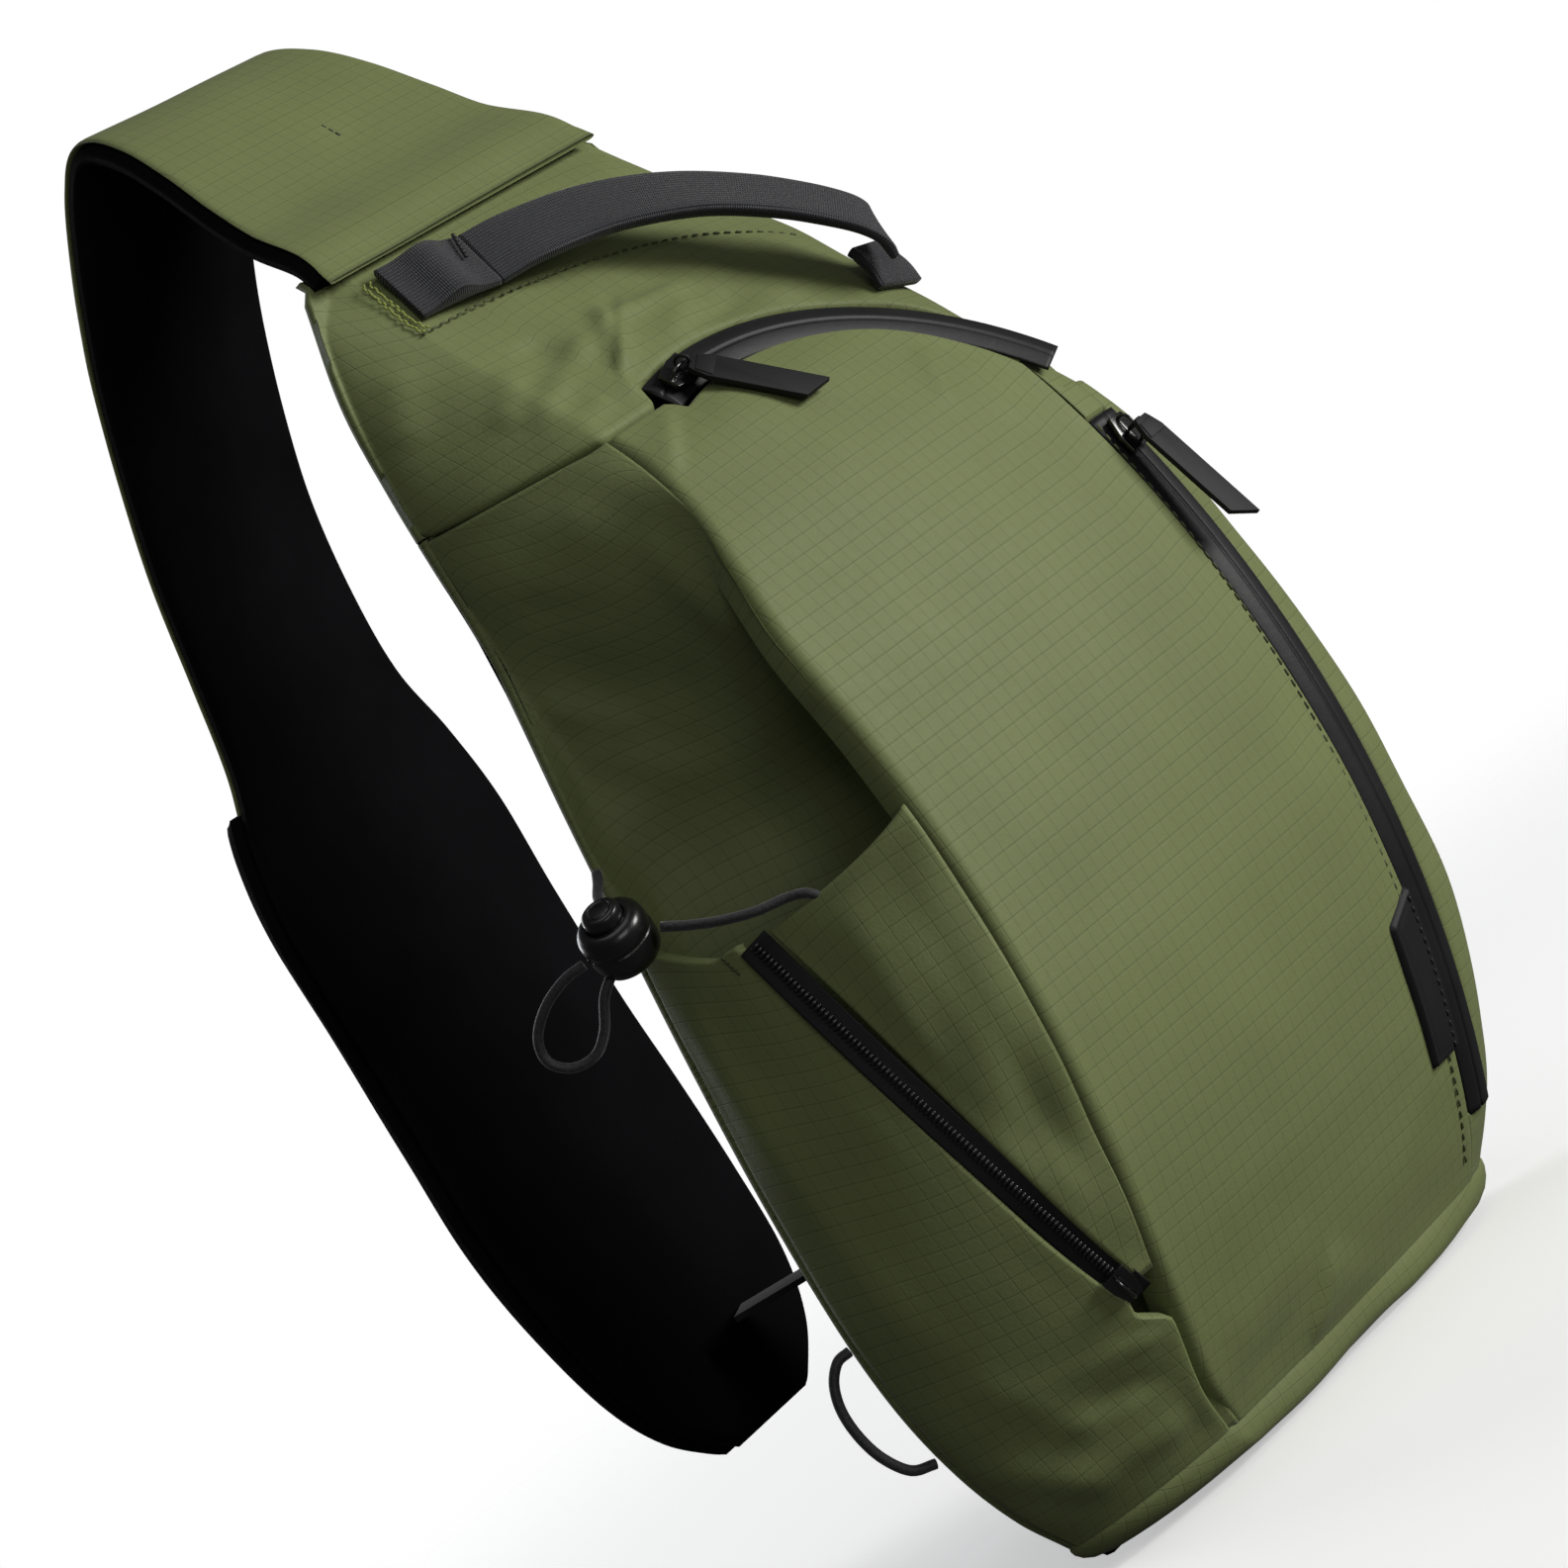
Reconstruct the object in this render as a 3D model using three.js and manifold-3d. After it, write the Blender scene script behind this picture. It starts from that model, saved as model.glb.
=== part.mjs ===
// Sling bag with a padded shoulder strap, a front zip pocket and a side bottle pocket.
// Millimetres, +Z up along the bag, -Y is the front, +X is to the right seen from the front.
// The shapes are drawn with the back panel at y = 0 and the base at z = 0, and the finished
// group is then moved so that its origin is the underside of the strap at its crest.
import * as THREE from 'three';
import { mergeVertices } from 'three/addons/utils/BufferGeometryUtils.js';
import Module from 'manifold-3d';

const wasm = await Module();
wasm.setup();

// ---------- driving dimensions ----------
const STRAP_CREST = new THREE.Vector3(0, 59, 447.5); // underside of the strap, the row origin
const GAP = 0.3;              // left between pieces that touch
const FABRIC = 2.4;           // body fabric with its foam
const BASE_Z = 9;             // height of the seam round the base
const BODY_TOP_Z = 377.6;     // seam between the body and the strap
const SEAM_Z = 303.6;         // seam between the yoke and the panels under it
const BACK_PLATE = 2.9;       // back panel board and cover
const BACK_FOAM = 7;
const BACK_MESH = 1.5;
const CROWN = 4;              // how far the front swells between its two edges

// The front of the bag, seen from the side, is one arc about an axis along X.
const FRONT_ARC = { radius: 300, y: 216, z: 175 };
const FRONT_ZIP_X = 79;       // the pocket zip runs down the front arc at this x
const FRONT_ZIP_HALF = 5.7;
const FRONT_ZIP_TOP = 236;
const FRONT_ZIP_BOTTOM = 24;

// The main zip is an arc in a plane that leans back over the top of the front.
const MAIN_ZIP = { radius: 88, half: 5.5, from: -15, to: 70 };
const MAIN_CENTRE = new THREE.Vector3(-2, -88.5, 229);
const MAIN_AXIS = new THREE.Vector3(0, 0.892, -0.452).normalize();
const MAIN_UP = new THREE.Vector3(0, 0.452, 0.892).normalize();
const MAIN_CLEAR = 0.8;       // between the tape and the panels beside it

// The side pocket's expansion zip is an arc that swells with the side of the pocket.
const POCKET_CENTRE = new THREE.Vector3(35, 61, 124);
const POCKET_AXIS = new THREE.Vector3(0.632, -0.75, 0.198).normalize();
const POCKET_RADIUS = 179;
const POCKET_ZIP_TOP = 181;
const POCKET_ZIP_BOTTOM = 54;
const POCKET_RECESS = 40;     // how far the body wall stands in behind the pocket
const POCKET_LINER_STEP = 4.4;

// Height, half width at the back, half width at the front, depth, swell of the left side,
// reach of the right front corner, swell of the right side. Depth 0 means the front arc.
const STATIONS = [
  [9, 99, 60, 33, 2, 22, 4],
  [23, 108, 69, 0, 3, 27, 5],
  [41, 115, 73, 0, 4, 30, 6],
  [63, 119, 76, 0, 5, 33, 7],
  [88, 119, 77, 0, 6, 36, 9],
  [125, 114.5, 77, 0, 7, 38, 12],
  [165, 107, 75.5, 0, 7, 40, 14],
  [205, 98, 74, 0, 7, 43, 16],
  [235, 91, 72, 0, 6, 43, 15],
  [258, 85, 65, 0, 4, 37, 11],
  [275, 81, 58, 66, 2, 38, 9],
  [290, 79, 54, 59, 1, 42, 7],
  [303, 78, 51, 50, 0, 46, 6],
  [325, 75.5, 50, 36, 0, 44, 3],
  [350, 71, 49, 20, 0, 30, 1],
  [378, 60, 46, 7, 0, 12, 0],
];

// ---------- skin of the body ----------
function frontArcDepth(z) {
  const rise = z - FRONT_ARC.z;
  return Math.sqrt(FRONT_ARC.radius ** 2 - rise * rise) - FRONT_ARC.y;
}

function stationValue(row, column) {
  const value = STATIONS[row][column];
  return column === 3 && value === 0 ? frontArcDepth(STATIONS[row][0]) : value;
}

function slopeAt(row, column) {
  const before = Math.max(row - 1, 0);
  const after = Math.min(row + 1, STATIONS.length - 1);
  const rise = STATIONS[after][0] - STATIONS[before][0];
  return (stationValue(after, column) - stationValue(before, column)) / rise;
}

function profile(z, column) {
  const last = STATIONS.length - 2;
  let row = 0;
  while (row < last && z >= STATIONS[row + 1][0]) row += 1;
  const span = STATIONS[row + 1][0] - STATIONS[row][0];
  const t = THREE.MathUtils.clamp((z - STATIONS[row][0]) / span, 0, 1);
  const a = stationValue(row, column);
  const b = stationValue(row + 1, column);
  const leave = slopeAt(row, column) * span;
  const arrive = slopeAt(row + 1, column) * span;
  const t2 = t * t;
  const t3 = t2 * t;
  return (2 * t3 - 3 * t2 + 1) * a + (t3 - 2 * t2 + t) * leave
    + (3 * t2 - 2 * t3) * b + (t3 - t2) * arrive;
}

function bezier(points, s) {
  const r = 1 - s;
  const weights = [r * r * r, 3 * s * r * r, 3 * s * s * r, s * s * s];
  let x = 0;
  let y = 0;
  points.forEach(([px, py], i) => {
    x += weights[i] * px;
    y += weights[i] * py;
  });
  return [x, y];
}

// A point of the skin: across runs 0 to 1 over the left side, 1 to 2 over the front,
// and 2 to 3 over the right side.
function skin(across, z) {
  const [back, front, depth, leftSwell, corner, rightSwell] = [1, 2, 3, 4, 5, 6]
    .map((column) => profile(z, column));
  const right = front + 3;
  const crown = CROWN * Math.min(1, depth / 60);
  let place;
  if (across <= 1) {
    const middle = [-front - 0.3 * (back - front) - 0.9 * leftSwell, -0.88 * depth];
    place = bezier([[-back, 0], [-back - leftSwell, -0.4 * depth], middle, [-front, -depth]], across);
  } else if (across <= 2) {
    const s = across - 1;
    place = [-front + s * (front + right), -depth - crown * 4 * s * (1 - s)];
  } else {
    const turn = [right + corner, -depth + 0.1 * corner];
    place = bezier([[right, -depth], turn, [back + rightSwell, -0.5 * depth], [back, 0]], across - 2);
  }
  return new THREE.Vector3(place[0], place[1], z);
}

function skinNormal(across, z) {
  const step = 0.02;
  const alongBody = skin(across, z + 1).sub(skin(across, z - 1));
  const round = skin(Math.min(across + step, 3), z).sub(skin(Math.max(across - step, 0), z));
  return round.cross(alongBody).normalize();
}

// Where the skin reaches a given x, going right from the front left edge.
function acrossAt(x, z) {
  let low = 1;
  let high = 2.3;
  for (let i = 0; i < 40; i += 1) {
    const middle = (low + high) / 2;
    if (skin(middle, z).x < x) low = middle;
    else high = middle;
  }
  return (low + high) / 2;
}

// Where the skin of the left side reaches a given y.
function sideAcrossAt(y, z) {
  let low = 0;
  let high = 1;
  for (let i = 0; i < 40; i += 1) {
    const middle = (low + high) / 2;
    if (skin(middle, z).y > y) low = middle;
    else high = middle;
  }
  return (low + high) / 2;
}

// ---------- solids ----------
function geometryOf(vertices, triangles) {
  const geometry = new THREE.BufferGeometry();
  const numbers = new Float32Array(vertices.length * 3);
  vertices.forEach((v, i) => v.toArray(numbers, i * 3));
  geometry.setAttribute('position', new THREE.BufferAttribute(numbers, 3));
  geometry.setIndex(triangles);
  return geometry;
}

function signedVolume(vertices, triangles) {
  let sum = 0;
  for (let i = 0; i < triangles.length; i += 3) {
    const [a, b, c] = [0, 1, 2].map((k) => vertices[triangles[i + k]]);
    sum += a.dot(b.clone().cross(c));
  }
  return sum / 6;
}

function facingOut(vertices, triangles) {
  if (signedVolume(vertices, triangles) >= 0) return geometryOf(vertices, triangles);
  const turned = [];
  for (let i = 0; i < triangles.length; i += 3) {
    turned.push(triangles[i], triangles[i + 2], triangles[i + 1]);
  }
  return geometryOf(vertices, turned);
}

// A sheet with two faces: grids of points that match one to one, closed round the edge.
function sheet(outer, inner) {
  const rows = outer.length;
  const columns = outer[0].length;
  const vertices = [...outer.flat(), ...inner.flat()];
  const triangles = [];
  const at = (face, i, j) => face * rows * columns + i * columns + j;
  const quad = (a, b, c, d) => triangles.push(a, b, c, a, c, d);
  for (let i = 0; i < rows - 1; i += 1) {
    for (let j = 0; j < columns - 1; j += 1) {
      quad(at(0, i, j), at(0, i + 1, j), at(0, i + 1, j + 1), at(0, i, j + 1));
      quad(at(1, i, j), at(1, i, j + 1), at(1, i + 1, j + 1), at(1, i + 1, j));
    }
  }
  for (let i = 0; i < rows - 1; i += 1) {
    quad(at(0, i, 0), at(1, i, 0), at(1, i + 1, 0), at(0, i + 1, 0));
    const j = columns - 1;
    quad(at(0, i, j), at(0, i + 1, j), at(1, i + 1, j), at(1, i, j));
  }
  for (let j = 0; j < columns - 1; j += 1) {
    quad(at(0, 0, j), at(0, 0, j + 1), at(1, 0, j + 1), at(1, 0, j));
    const i = rows - 1;
    quad(at(0, i, j), at(1, i, j), at(1, i, j + 1), at(0, i, j + 1));
  }
  return facingOut(vertices, triangles);
}

// A solid through rings of points, with a flat cap on each end.
function loft(rings) {
  const count = rings[0].length;
  const vertices = rings.flat();
  const triangles = [];
  for (let i = 0; i < rings.length - 1; i += 1) {
    for (let j = 0; j < count; j += 1) {
      const a = i * count + j;
      const b = i * count + ((j + 1) % count);
      triangles.push(a, b, b + count, a, b + count, a + count);
    }
  }
  const last = (rings.length - 1) * count;
  for (let j = 1; j < count - 1; j += 1) {
    triangles.push(0, j + 1, j);
    triangles.push(last, last + j, last + j + 1);
  }
  return facingOut(vertices, triangles);
}

function toManifold(geometry) {
  const bare = geometry.clone();
  bare.deleteAttribute('normal');
  bare.deleteAttribute('uv');
  const merged = mergeVertices(bare, 1e-4);
  const vertProperties = new Float32Array(merged.attributes.position.array);
  const triVerts = new Uint32Array(merged.index.array);
  return new wasm.Manifold(new wasm.Mesh({ numProp: 3, vertProperties, triVerts }));
}

function fromManifold(solid) {
  const { vertProperties, triVerts } = solid.getMesh();
  const geometry = new THREE.BufferGeometry();
  geometry.setAttribute('position', new THREE.BufferAttribute(new Float32Array(vertProperties), 3));
  geometry.setIndex(new THREE.BufferAttribute(new Uint32Array(triVerts), 1));
  return geometry;
}

function cut(geometry, ...tools) {
  const whole = toManifold(geometry);
  return fromManifold(tools.reduce((solid, tool) => solid.subtract(toManifold(tool)), whole));
}

// What is left in front of the board, without the slivers that the cut sheds at its edge.
function inFrontOfBoard(geometry) {
  const bodies = toManifold(geometry).subtract(toManifold(BEHIND_BOARD)).decompose();
  return fromManifold(bodies.reduce((best, body) => (body.volume() > best.volume() ? body : best)));
}

function join(...geometries) {
  const [first, ...rest] = geometries.map(toManifold);
  return fromManifold(rest.reduce((solid, other) => solid.add(other), first));
}

function box(sizeX, sizeY, sizeZ, x, y, z) {
  return new THREE.BoxGeometry(sizeX, sizeY, sizeZ).translate(x, y, z);
}

// Everything behind the front face of the back board is cut from the body's fabric.
const BEHIND_BOARD = box(400, 100, 500, 0, 50 - BACK_PLATE - GAP, 200);

// A piece of the body's fabric. edges gives the ends of the piece across at a height, and
// ends gives its bottom and top at a share of the way across.
function panel({ edges, ends, columns, rows, lift = 0, thickness = FABRIC, sink = null }) {
  const outer = [];
  const inner = [];
  for (let i = 0; i <= columns; i += 1) {
    const share = i / columns;
    const [bottom, top] = ends(share);
    const outerRow = [];
    const innerRow = [];
    for (let j = 0; j <= rows; j += 1) {
      const z = bottom + (top - bottom) * (j / rows);
      const [left, right] = edges(z);
      const across = left + (right - left) * share;
      const point = skin(across, z);
      const normal = skinNormal(across, z);
      if (sink) point.add(sink(across, z));
      outerRow.push(point.clone().addScaledVector(normal, lift));
      innerRow.push(point.clone().addScaledVector(normal, lift - thickness));
    }
    outer.push(outerRow);
    inner.push(innerRow);
  }
  return inFrontOfBoard(sheet(outer, inner));
}

function smoothShare(value, from, to) {
  return THREE.MathUtils.smoothstep(value, from, to);
}

// ---------- arcs that carry the zips ----------
function arcFrame(arc, degrees) {
  const angle = THREE.MathUtils.degToRad(degrees);
  const radial = arc.start.clone().multiplyScalar(Math.cos(angle))
    .addScaledVector(arc.side, Math.sin(angle));
  const tangent = arc.side.clone().multiplyScalar(Math.cos(angle))
    .addScaledVector(arc.start, -Math.sin(angle));
  return { radial, tangent, at: arc.centre.clone().addScaledVector(radial, arc.radius) };
}

// A section swept along an arc. The section is a list of [axial, radial] offsets.
function arcBand(arc, section, from, to, steps) {
  const rings = [];
  for (let i = 0; i <= steps; i += 1) {
    const { radial, at } = arcFrame(arc, from + (to - from) * (i / steps));
    rings.push(section.map(([axial, out]) => at.clone()
      .addScaledVector(arc.axis, axial)
      .addScaledVector(radial, out)));
  }
  return loft(rings);
}

function rectangle(halfWidth, bottom, top) {
  return [[-halfWidth, bottom], [halfWidth, bottom], [halfWidth, top], [-halfWidth, top]];
}

const mainArc = {
  centre: MAIN_CENTRE,
  axis: MAIN_AXIS.clone().negate(),
  radius: MAIN_ZIP.radius,
  start: MAIN_UP,
  side: new THREE.Vector3(1, 0, 0),
};
const frontArc = {
  centre: new THREE.Vector3(FRONT_ZIP_X, FRONT_ARC.y, FRONT_ARC.z),
  axis: new THREE.Vector3(1, 0, 0),
  radius: FRONT_ARC.radius,
  start: new THREE.Vector3(0, -1, 0),
  side: new THREE.Vector3(0, 0, -1),
};
const pocketStart = new THREE.Vector3(0, 0, 1).cross(POCKET_AXIS).normalize().negate();
const pocketArc = {
  centre: POCKET_CENTRE,
  axis: POCKET_AXIS.clone().negate(),
  radius: POCKET_RADIUS,
  start: pocketStart,
  side: POCKET_AXIS.clone().cross(pocketStart).normalize(),
};

function frontArcAngle(z) {
  return THREE.MathUtils.radToDeg(Math.asin((FRONT_ARC.z - z) / FRONT_ARC.radius));
}

function pocketArcAngle(z) {
  let low = -60;
  let high = 60;
  for (let i = 0; i < 40; i += 1) {
    const middle = (low + high) / 2;
    if (arcFrame(pocketArc, middle).at.z > z) low = middle;
    else high = middle;
  }
  return (low + high) / 2;
}

function pocketZipAcross(z) {
  const { at } = arcFrame(pocketArc, pocketArcAngle(z));
  return sideAcrossAt(at.y, z);
}

// A point of the main zip's inner or outer edge, pushed beside the tape by the clearance.
function mainEdge(degrees, outward) {
  const angle = THREE.MathUtils.degToRad(degrees);
  const reach = MAIN_ZIP.radius + outward * (MAIN_ZIP.half + MAIN_CLEAR);
  const x = MAIN_CENTRE.x + reach * Math.sin(angle);
  const z = MAIN_CENTRE.z + reach * MAIN_UP.z * Math.cos(angle);
  return { x, z, across: acrossAt(x, z) };
}

// ---------- finished list of pieces ----------
const SURFACES = {
  ripstop: { color: 0x59633f, roughness: 0.72, metalness: 0 },
  lining: { color: 0x101012, roughness: 0.9, metalness: 0 },
  webbing: { color: 0x17171a, roughness: 0.8, metalness: 0 },
  zip_tape: { color: 0x131315, roughness: 0.5, metalness: 0 },
  zip_coil: { color: 0x1a1a1d, roughness: 0.3, metalness: 0 },
  hardware: { color: 0x141416, roughness: 0.28, metalness: 0.6 },
  patch: { color: 0x161618, roughness: 0.55, metalness: 0 },
  foam: { color: 0x2a2a2c, roughness: 0.95, metalness: 0 },
  plastic: { color: 0x121213, roughness: 0.38, metalness: 0 },
  elastic: { color: 0x161617, roughness: 0.75, metalness: 0 },
  spring_steel: { color: 0x9a9a9c, roughness: 0.3, metalness: 1 },
};

const group = new THREE.Group();
group.position.copy(STRAP_CREST).negate();

function add(name, surface, geometry, matrix = null) {
  const mesh = new THREE.Mesh(geometry, new THREE.MeshStandardMaterial(SURFACES[surface]));
  mesh.name = name;
  if (matrix) mesh.applyMatrix4(matrix);
  group.add(mesh);
}

// ---------- back ----------
function outline(inset, bottom, top, steps) {
  const points = [];
  for (let i = 0; i <= steps; i += 1) {
    const z = bottom + (top - bottom) * (i / steps);
    const round = z < 23 ? 10 * (1 - z / 23) ** 2 : 0;
    points.push([profile(Math.max(z, BASE_Z), 1) - inset - round, z]);
  }
  return points;
}

function backPlate(inset, bottom, top, front, thickness, steps) {
  const side = outline(inset, bottom, top, steps);
  const shape = new THREE.Shape();
  side.forEach(([x, z], i) => (i ? shape.lineTo(x, z) : shape.moveTo(x, z)));
  [...side].reverse().forEach(([x, z]) => shape.lineTo(-x, z));
  const geometry = new THREE.ExtrudeGeometry(shape, { depth: thickness, bevelEnabled: false });
  return geometry.rotateX(Math.PI / 2).translate(0, front + thickness, 0);
}

add('back_panel', 'lining', backPlate(0, 1, BODY_TOP_Z, -BACK_PLATE, BACK_PLATE, 20));
add('back_foam', 'foam', backPlate(9, 14, 352, GAP, BACK_FOAM, 16));
add('back_mesh', 'lining', backPlate(7, 12, 356, BACK_FOAM + 2 * GAP, BACK_MESH, 16));
add('inner_divider', 'lining', box(104, 3, 236, 8, -12, 160));

// ---------- body panels ----------
function mainZipTop(x) {
  const edge = MAIN_CENTRE.x;
  const reach = MAIN_ZIP.radius - MAIN_ZIP.half - MAIN_CLEAR;
  const share = THREE.MathUtils.clamp((x - edge) / reach, -1, 1);
  return MAIN_CENTRE.z + reach * MAIN_UP.z * Math.sqrt(1 - share * share);
}

const zipStartX = mainEdge(MAIN_ZIP.from, -1).x;
const frontRightX = FRONT_ZIP_X - FRONT_ZIP_HALF - GAP;

function frontTop(x) {
  const left = SEAM_Z - 0.5;
  return x < zipStartX - 3.6 ? left : Math.min(left, mainZipTop(x));
}

// The height where a line a share of the way across meets a top edge given as z for x.
function topAt(edges, share, topEdge) {
  let z = SEAM_Z;
  for (let i = 0; i < 30; i += 1) {
    const [left, right] = edges(z);
    z = (z + topEdge(skin(left + (right - left) * share, z).x)) / 2;
  }
  return z;
}

const frontEdges = (z) => [1.004, acrossAt(frontRightX, z)];
add('front_panel', 'ripstop', panel({
  edges: frontEdges,
  ends: (share) => [BASE_Z + GAP, topAt(frontEdges, share, frontTop)],
  columns: 14,
  rows: 18,
}));

// The facing is the small piece of front between the main zip and the pocket zip.
const facingLeft = frontRightX + GAP;
const facingRight = FRONT_ZIP_X + FRONT_ZIP_HALF;
const FACING_TOP = 247.5;
add('front_facing', 'ripstop', panel({
  edges: (z) => [acrossAt(facingLeft, z), acrossAt(facingRight, z)],
  ends: (share) => {
    const x = facingLeft + share * (facingRight - facingLeft);
    return [FRONT_ZIP_TOP + 0.6, Math.max(FACING_TOP, mainZipTop(Math.min(x, 76.5)) - 1)];
  },
  columns: 5,
  rows: 3,
}));

add('right_gusset', 'ripstop', panel({
  edges: (z) => [acrossAt(facingRight + GAP, z), 3],
  ends: () => [BASE_Z + GAP, FACING_TOP],
  columns: 9,
  rows: 16,
}));

// The yoke closes the top of the bag, from the strap down to the seam and the main zip.
const zipEdge = [];
for (let degrees = MAIN_ZIP.from; degrees <= MAIN_ZIP.to; degrees += 8.5) {
  zipEdge.push(mainEdge(degrees, 1));
}
const yokeEdge = [
  [0, 311], [0.35, 307.5], [0.7, 305], [1, SEAM_Z], [zipEdge[0].across - 0.02, SEAM_Z],
  ...zipEdge.map(({ across, z }) => [across, z]),
  [2.35, FACING_TOP + 1.5], [2.65, FACING_TOP + 2], [3, FACING_TOP + 3],
];

function yoke() {
  const rows = 9;
  const outer = [];
  const inner = [];
  yokeEdge.forEach(([across, bottom]) => {
    const outerRow = [];
    const innerRow = [];
    for (let j = 0; j <= rows; j += 1) {
      const z = bottom + (BODY_TOP_Z - bottom) * (j / rows);
      const point = skin(across, z);
      outerRow.push(point);
      innerRow.push(point.clone().addScaledVector(skinNormal(across, z), -FABRIC));
    }
    outer.push(outerRow);
    inner.push(innerRow);
  });
  return inFrontOfBoard(sheet(outer, inner));
}
add('yoke_panel', 'ripstop', yoke());

// The base is a shallow dish below the seam.
function baseRing(scale, z) {
  const ring = [];
  for (let i = 0; i <= 24; i += 1) {
    const p = skin((i / 24) * 3, BASE_Z);
    ring.push(new THREE.Vector3(p.x * scale, (p.y + 14) * scale - 14, z));
  }
  return ring;
}
const dishOuter = loft([[0.7, 0], [0.87, 0.6], [0.95, 2.6], [0.99, 5.4], [1, BASE_Z - GAP]]
  .map(([scale, z]) => baseRing(scale, z)));
const dishInner = loft([[0.66, 3], [0.83, 3.6], [0.92, 5.6], [0.965, 20]]
  .map(([scale, z]) => baseRing(scale, z)));
add('base_panel', 'ripstop', cut(dishOuter, dishInner, BEHIND_BOARD));

// The body wall behind the bottle pocket stands in, which leaves the room for a bottle.
function recess(across, z) {
  const high = 1 - smoothShare(z, 196, 300);
  const low = smoothShare(z, 8, 60);
  const round = Math.sin(Math.PI * THREE.MathUtils.clamp(across, 0, 1)) ** 0.8;
  const step = POCKET_LINER_STEP * (1 - smoothShare(z, 200, 226));
  const inward = new THREE.Vector3(0.965, 0.264, 0);
  return inward.multiplyScalar(POCKET_RECESS * high * low * round + step);
}
add('side_wall_left', 'ripstop', panel({
  edges: () => [0, 0.915],
  ends: (share) => [BASE_Z + GAP, 310.4 - 7.4 * Math.min(1, share * 1.15)],
  columns: 12,
  rows: 16,
  sink: recess,
}));

// ---------- side bottle pocket ----------
const POCKET_FRONT_EDGE = 0.95;
const ZIP_SHARE = 0.076;      // half the expansion zip's tape, as a share of the side
const POCKET_WALL = 2.2;
const RIM_BACK = 197;
const RIM_FRONT = 187;

add('pocket_rear_wall', 'ripstop', panel({
  edges: (z) => {
    const beside = pocketZipAcross(Math.max(z, POCKET_ZIP_BOTTOM)) - ZIP_SHARE;
    const under = 1 - smoothShare(z, POCKET_ZIP_BOTTOM - 11, POCKET_ZIP_BOTTOM - 3);
    return [0, beside + (POCKET_FRONT_EDGE - beside) * under];
  },
  ends: (share) => {
    const fall = RIM_BACK - POCKET_ZIP_TOP - 1.5;
    return [BASE_Z + GAP, RIM_BACK - fall * Math.min(1, share * 1.3)];
  },
  columns: 7,
  rows: 18,
  thickness: POCKET_WALL,
}));
add('pocket_front_wall', 'ripstop', panel({
  edges: (z) => [pocketZipAcross(z) + ZIP_SHARE, POCKET_FRONT_EDGE],
  ends: (share) => [66, POCKET_ZIP_TOP + (RIM_FRONT - POCKET_ZIP_TOP) * share * share],
  columns: 6,
  rows: 12,
  thickness: POCKET_WALL,
}));

// A zip is a tape and, on top of it, the band of its closed coil. A flat zip lies in the
// plane of its arc, and any other zip lies on the cylinder round the arc's axis.
function addZip(name, arc, half, coilHalf, from, to, flat) {
  const section = (width, bottom, top) => (flat
    ? [[bottom, -width], [top, -width], [top, width], [bottom, width]]
    : rectangle(width, bottom, top));
  const tape = arcBand(arc, section(half, -1.7, -0.5), from, to, 16);
  const coil = arcBand(arc, section(coilHalf, -0.2, 1), from, to, 16);
  add(`${name}_zip_tape`, 'zip_tape', tape);
  add(`${name}_zip_coil`, 'zip_coil', coil);
}
const pocketFrom = pocketArcAngle(POCKET_ZIP_TOP);
const pocketTo = pocketArcAngle(POCKET_ZIP_BOTTOM);
addZip('pocket', pocketArc, 3.6, 1.3, pocketFrom, pocketTo, false);

// ---------- zips of the front ----------
const frontFrom = frontArcAngle(FRONT_ZIP_TOP);
const frontTo = frontArcAngle(FRONT_ZIP_BOTTOM);
addZip('front', frontArc, FRONT_ZIP_HALF - GAP, 1.4, frontFrom, frontTo, false);
addZip('main', mainArc, MAIN_ZIP.half, 1.4, MAIN_ZIP.from, MAIN_ZIP.to, true);

// ---------- sliders and pullers ----------
// A slider in its own frame: X is the way it runs, Z is out of the fabric.
const PLATE_TOP = 3;          // top of the slider's body over the zip's arc
const BAR_Z = 5.8;            // middle of the bridge bar that the puller's ring goes round
const BAR = { width: 1.2, height: 1 };
const RING = { radius: 2, wire: 0.5 };
const TAB_THICKNESS = 1.6;

function sliderSolid(width, length) {
  const plan = new THREE.Shape();
  plan.moveTo(-length / 2, -width * 0.32);
  plan.lineTo(length * 0.05, -width / 2);
  plan.lineTo(length / 2, -width / 2);
  plan.lineTo(length / 2, width / 2);
  plan.lineTo(length * 0.05, width / 2);
  plan.lineTo(-length / 2, width * 0.32);
  const plate = new THREE.ExtrudeGeometry(plan, { depth: 1.6, bevelEnabled: false });
  plate.translate(0, 0, PLATE_TOP - 1.6);
  const barTop = BAR_Z + BAR.height / 2;
  const barBottom = BAR_Z - BAR.height / 2;
  const foot = PLATE_TOP - 0.2;
  const bridge = box(length * 0.78, BAR.width, barTop - foot, 0, 0, (barTop + foot) / 2);
  const opening = box(length * 0.5, 3, barBottom - PLATE_TOP, 0, 0, (barBottom + PLATE_TOP) / 2);
  return join(plate, cut(bridge, opening));
}

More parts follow.
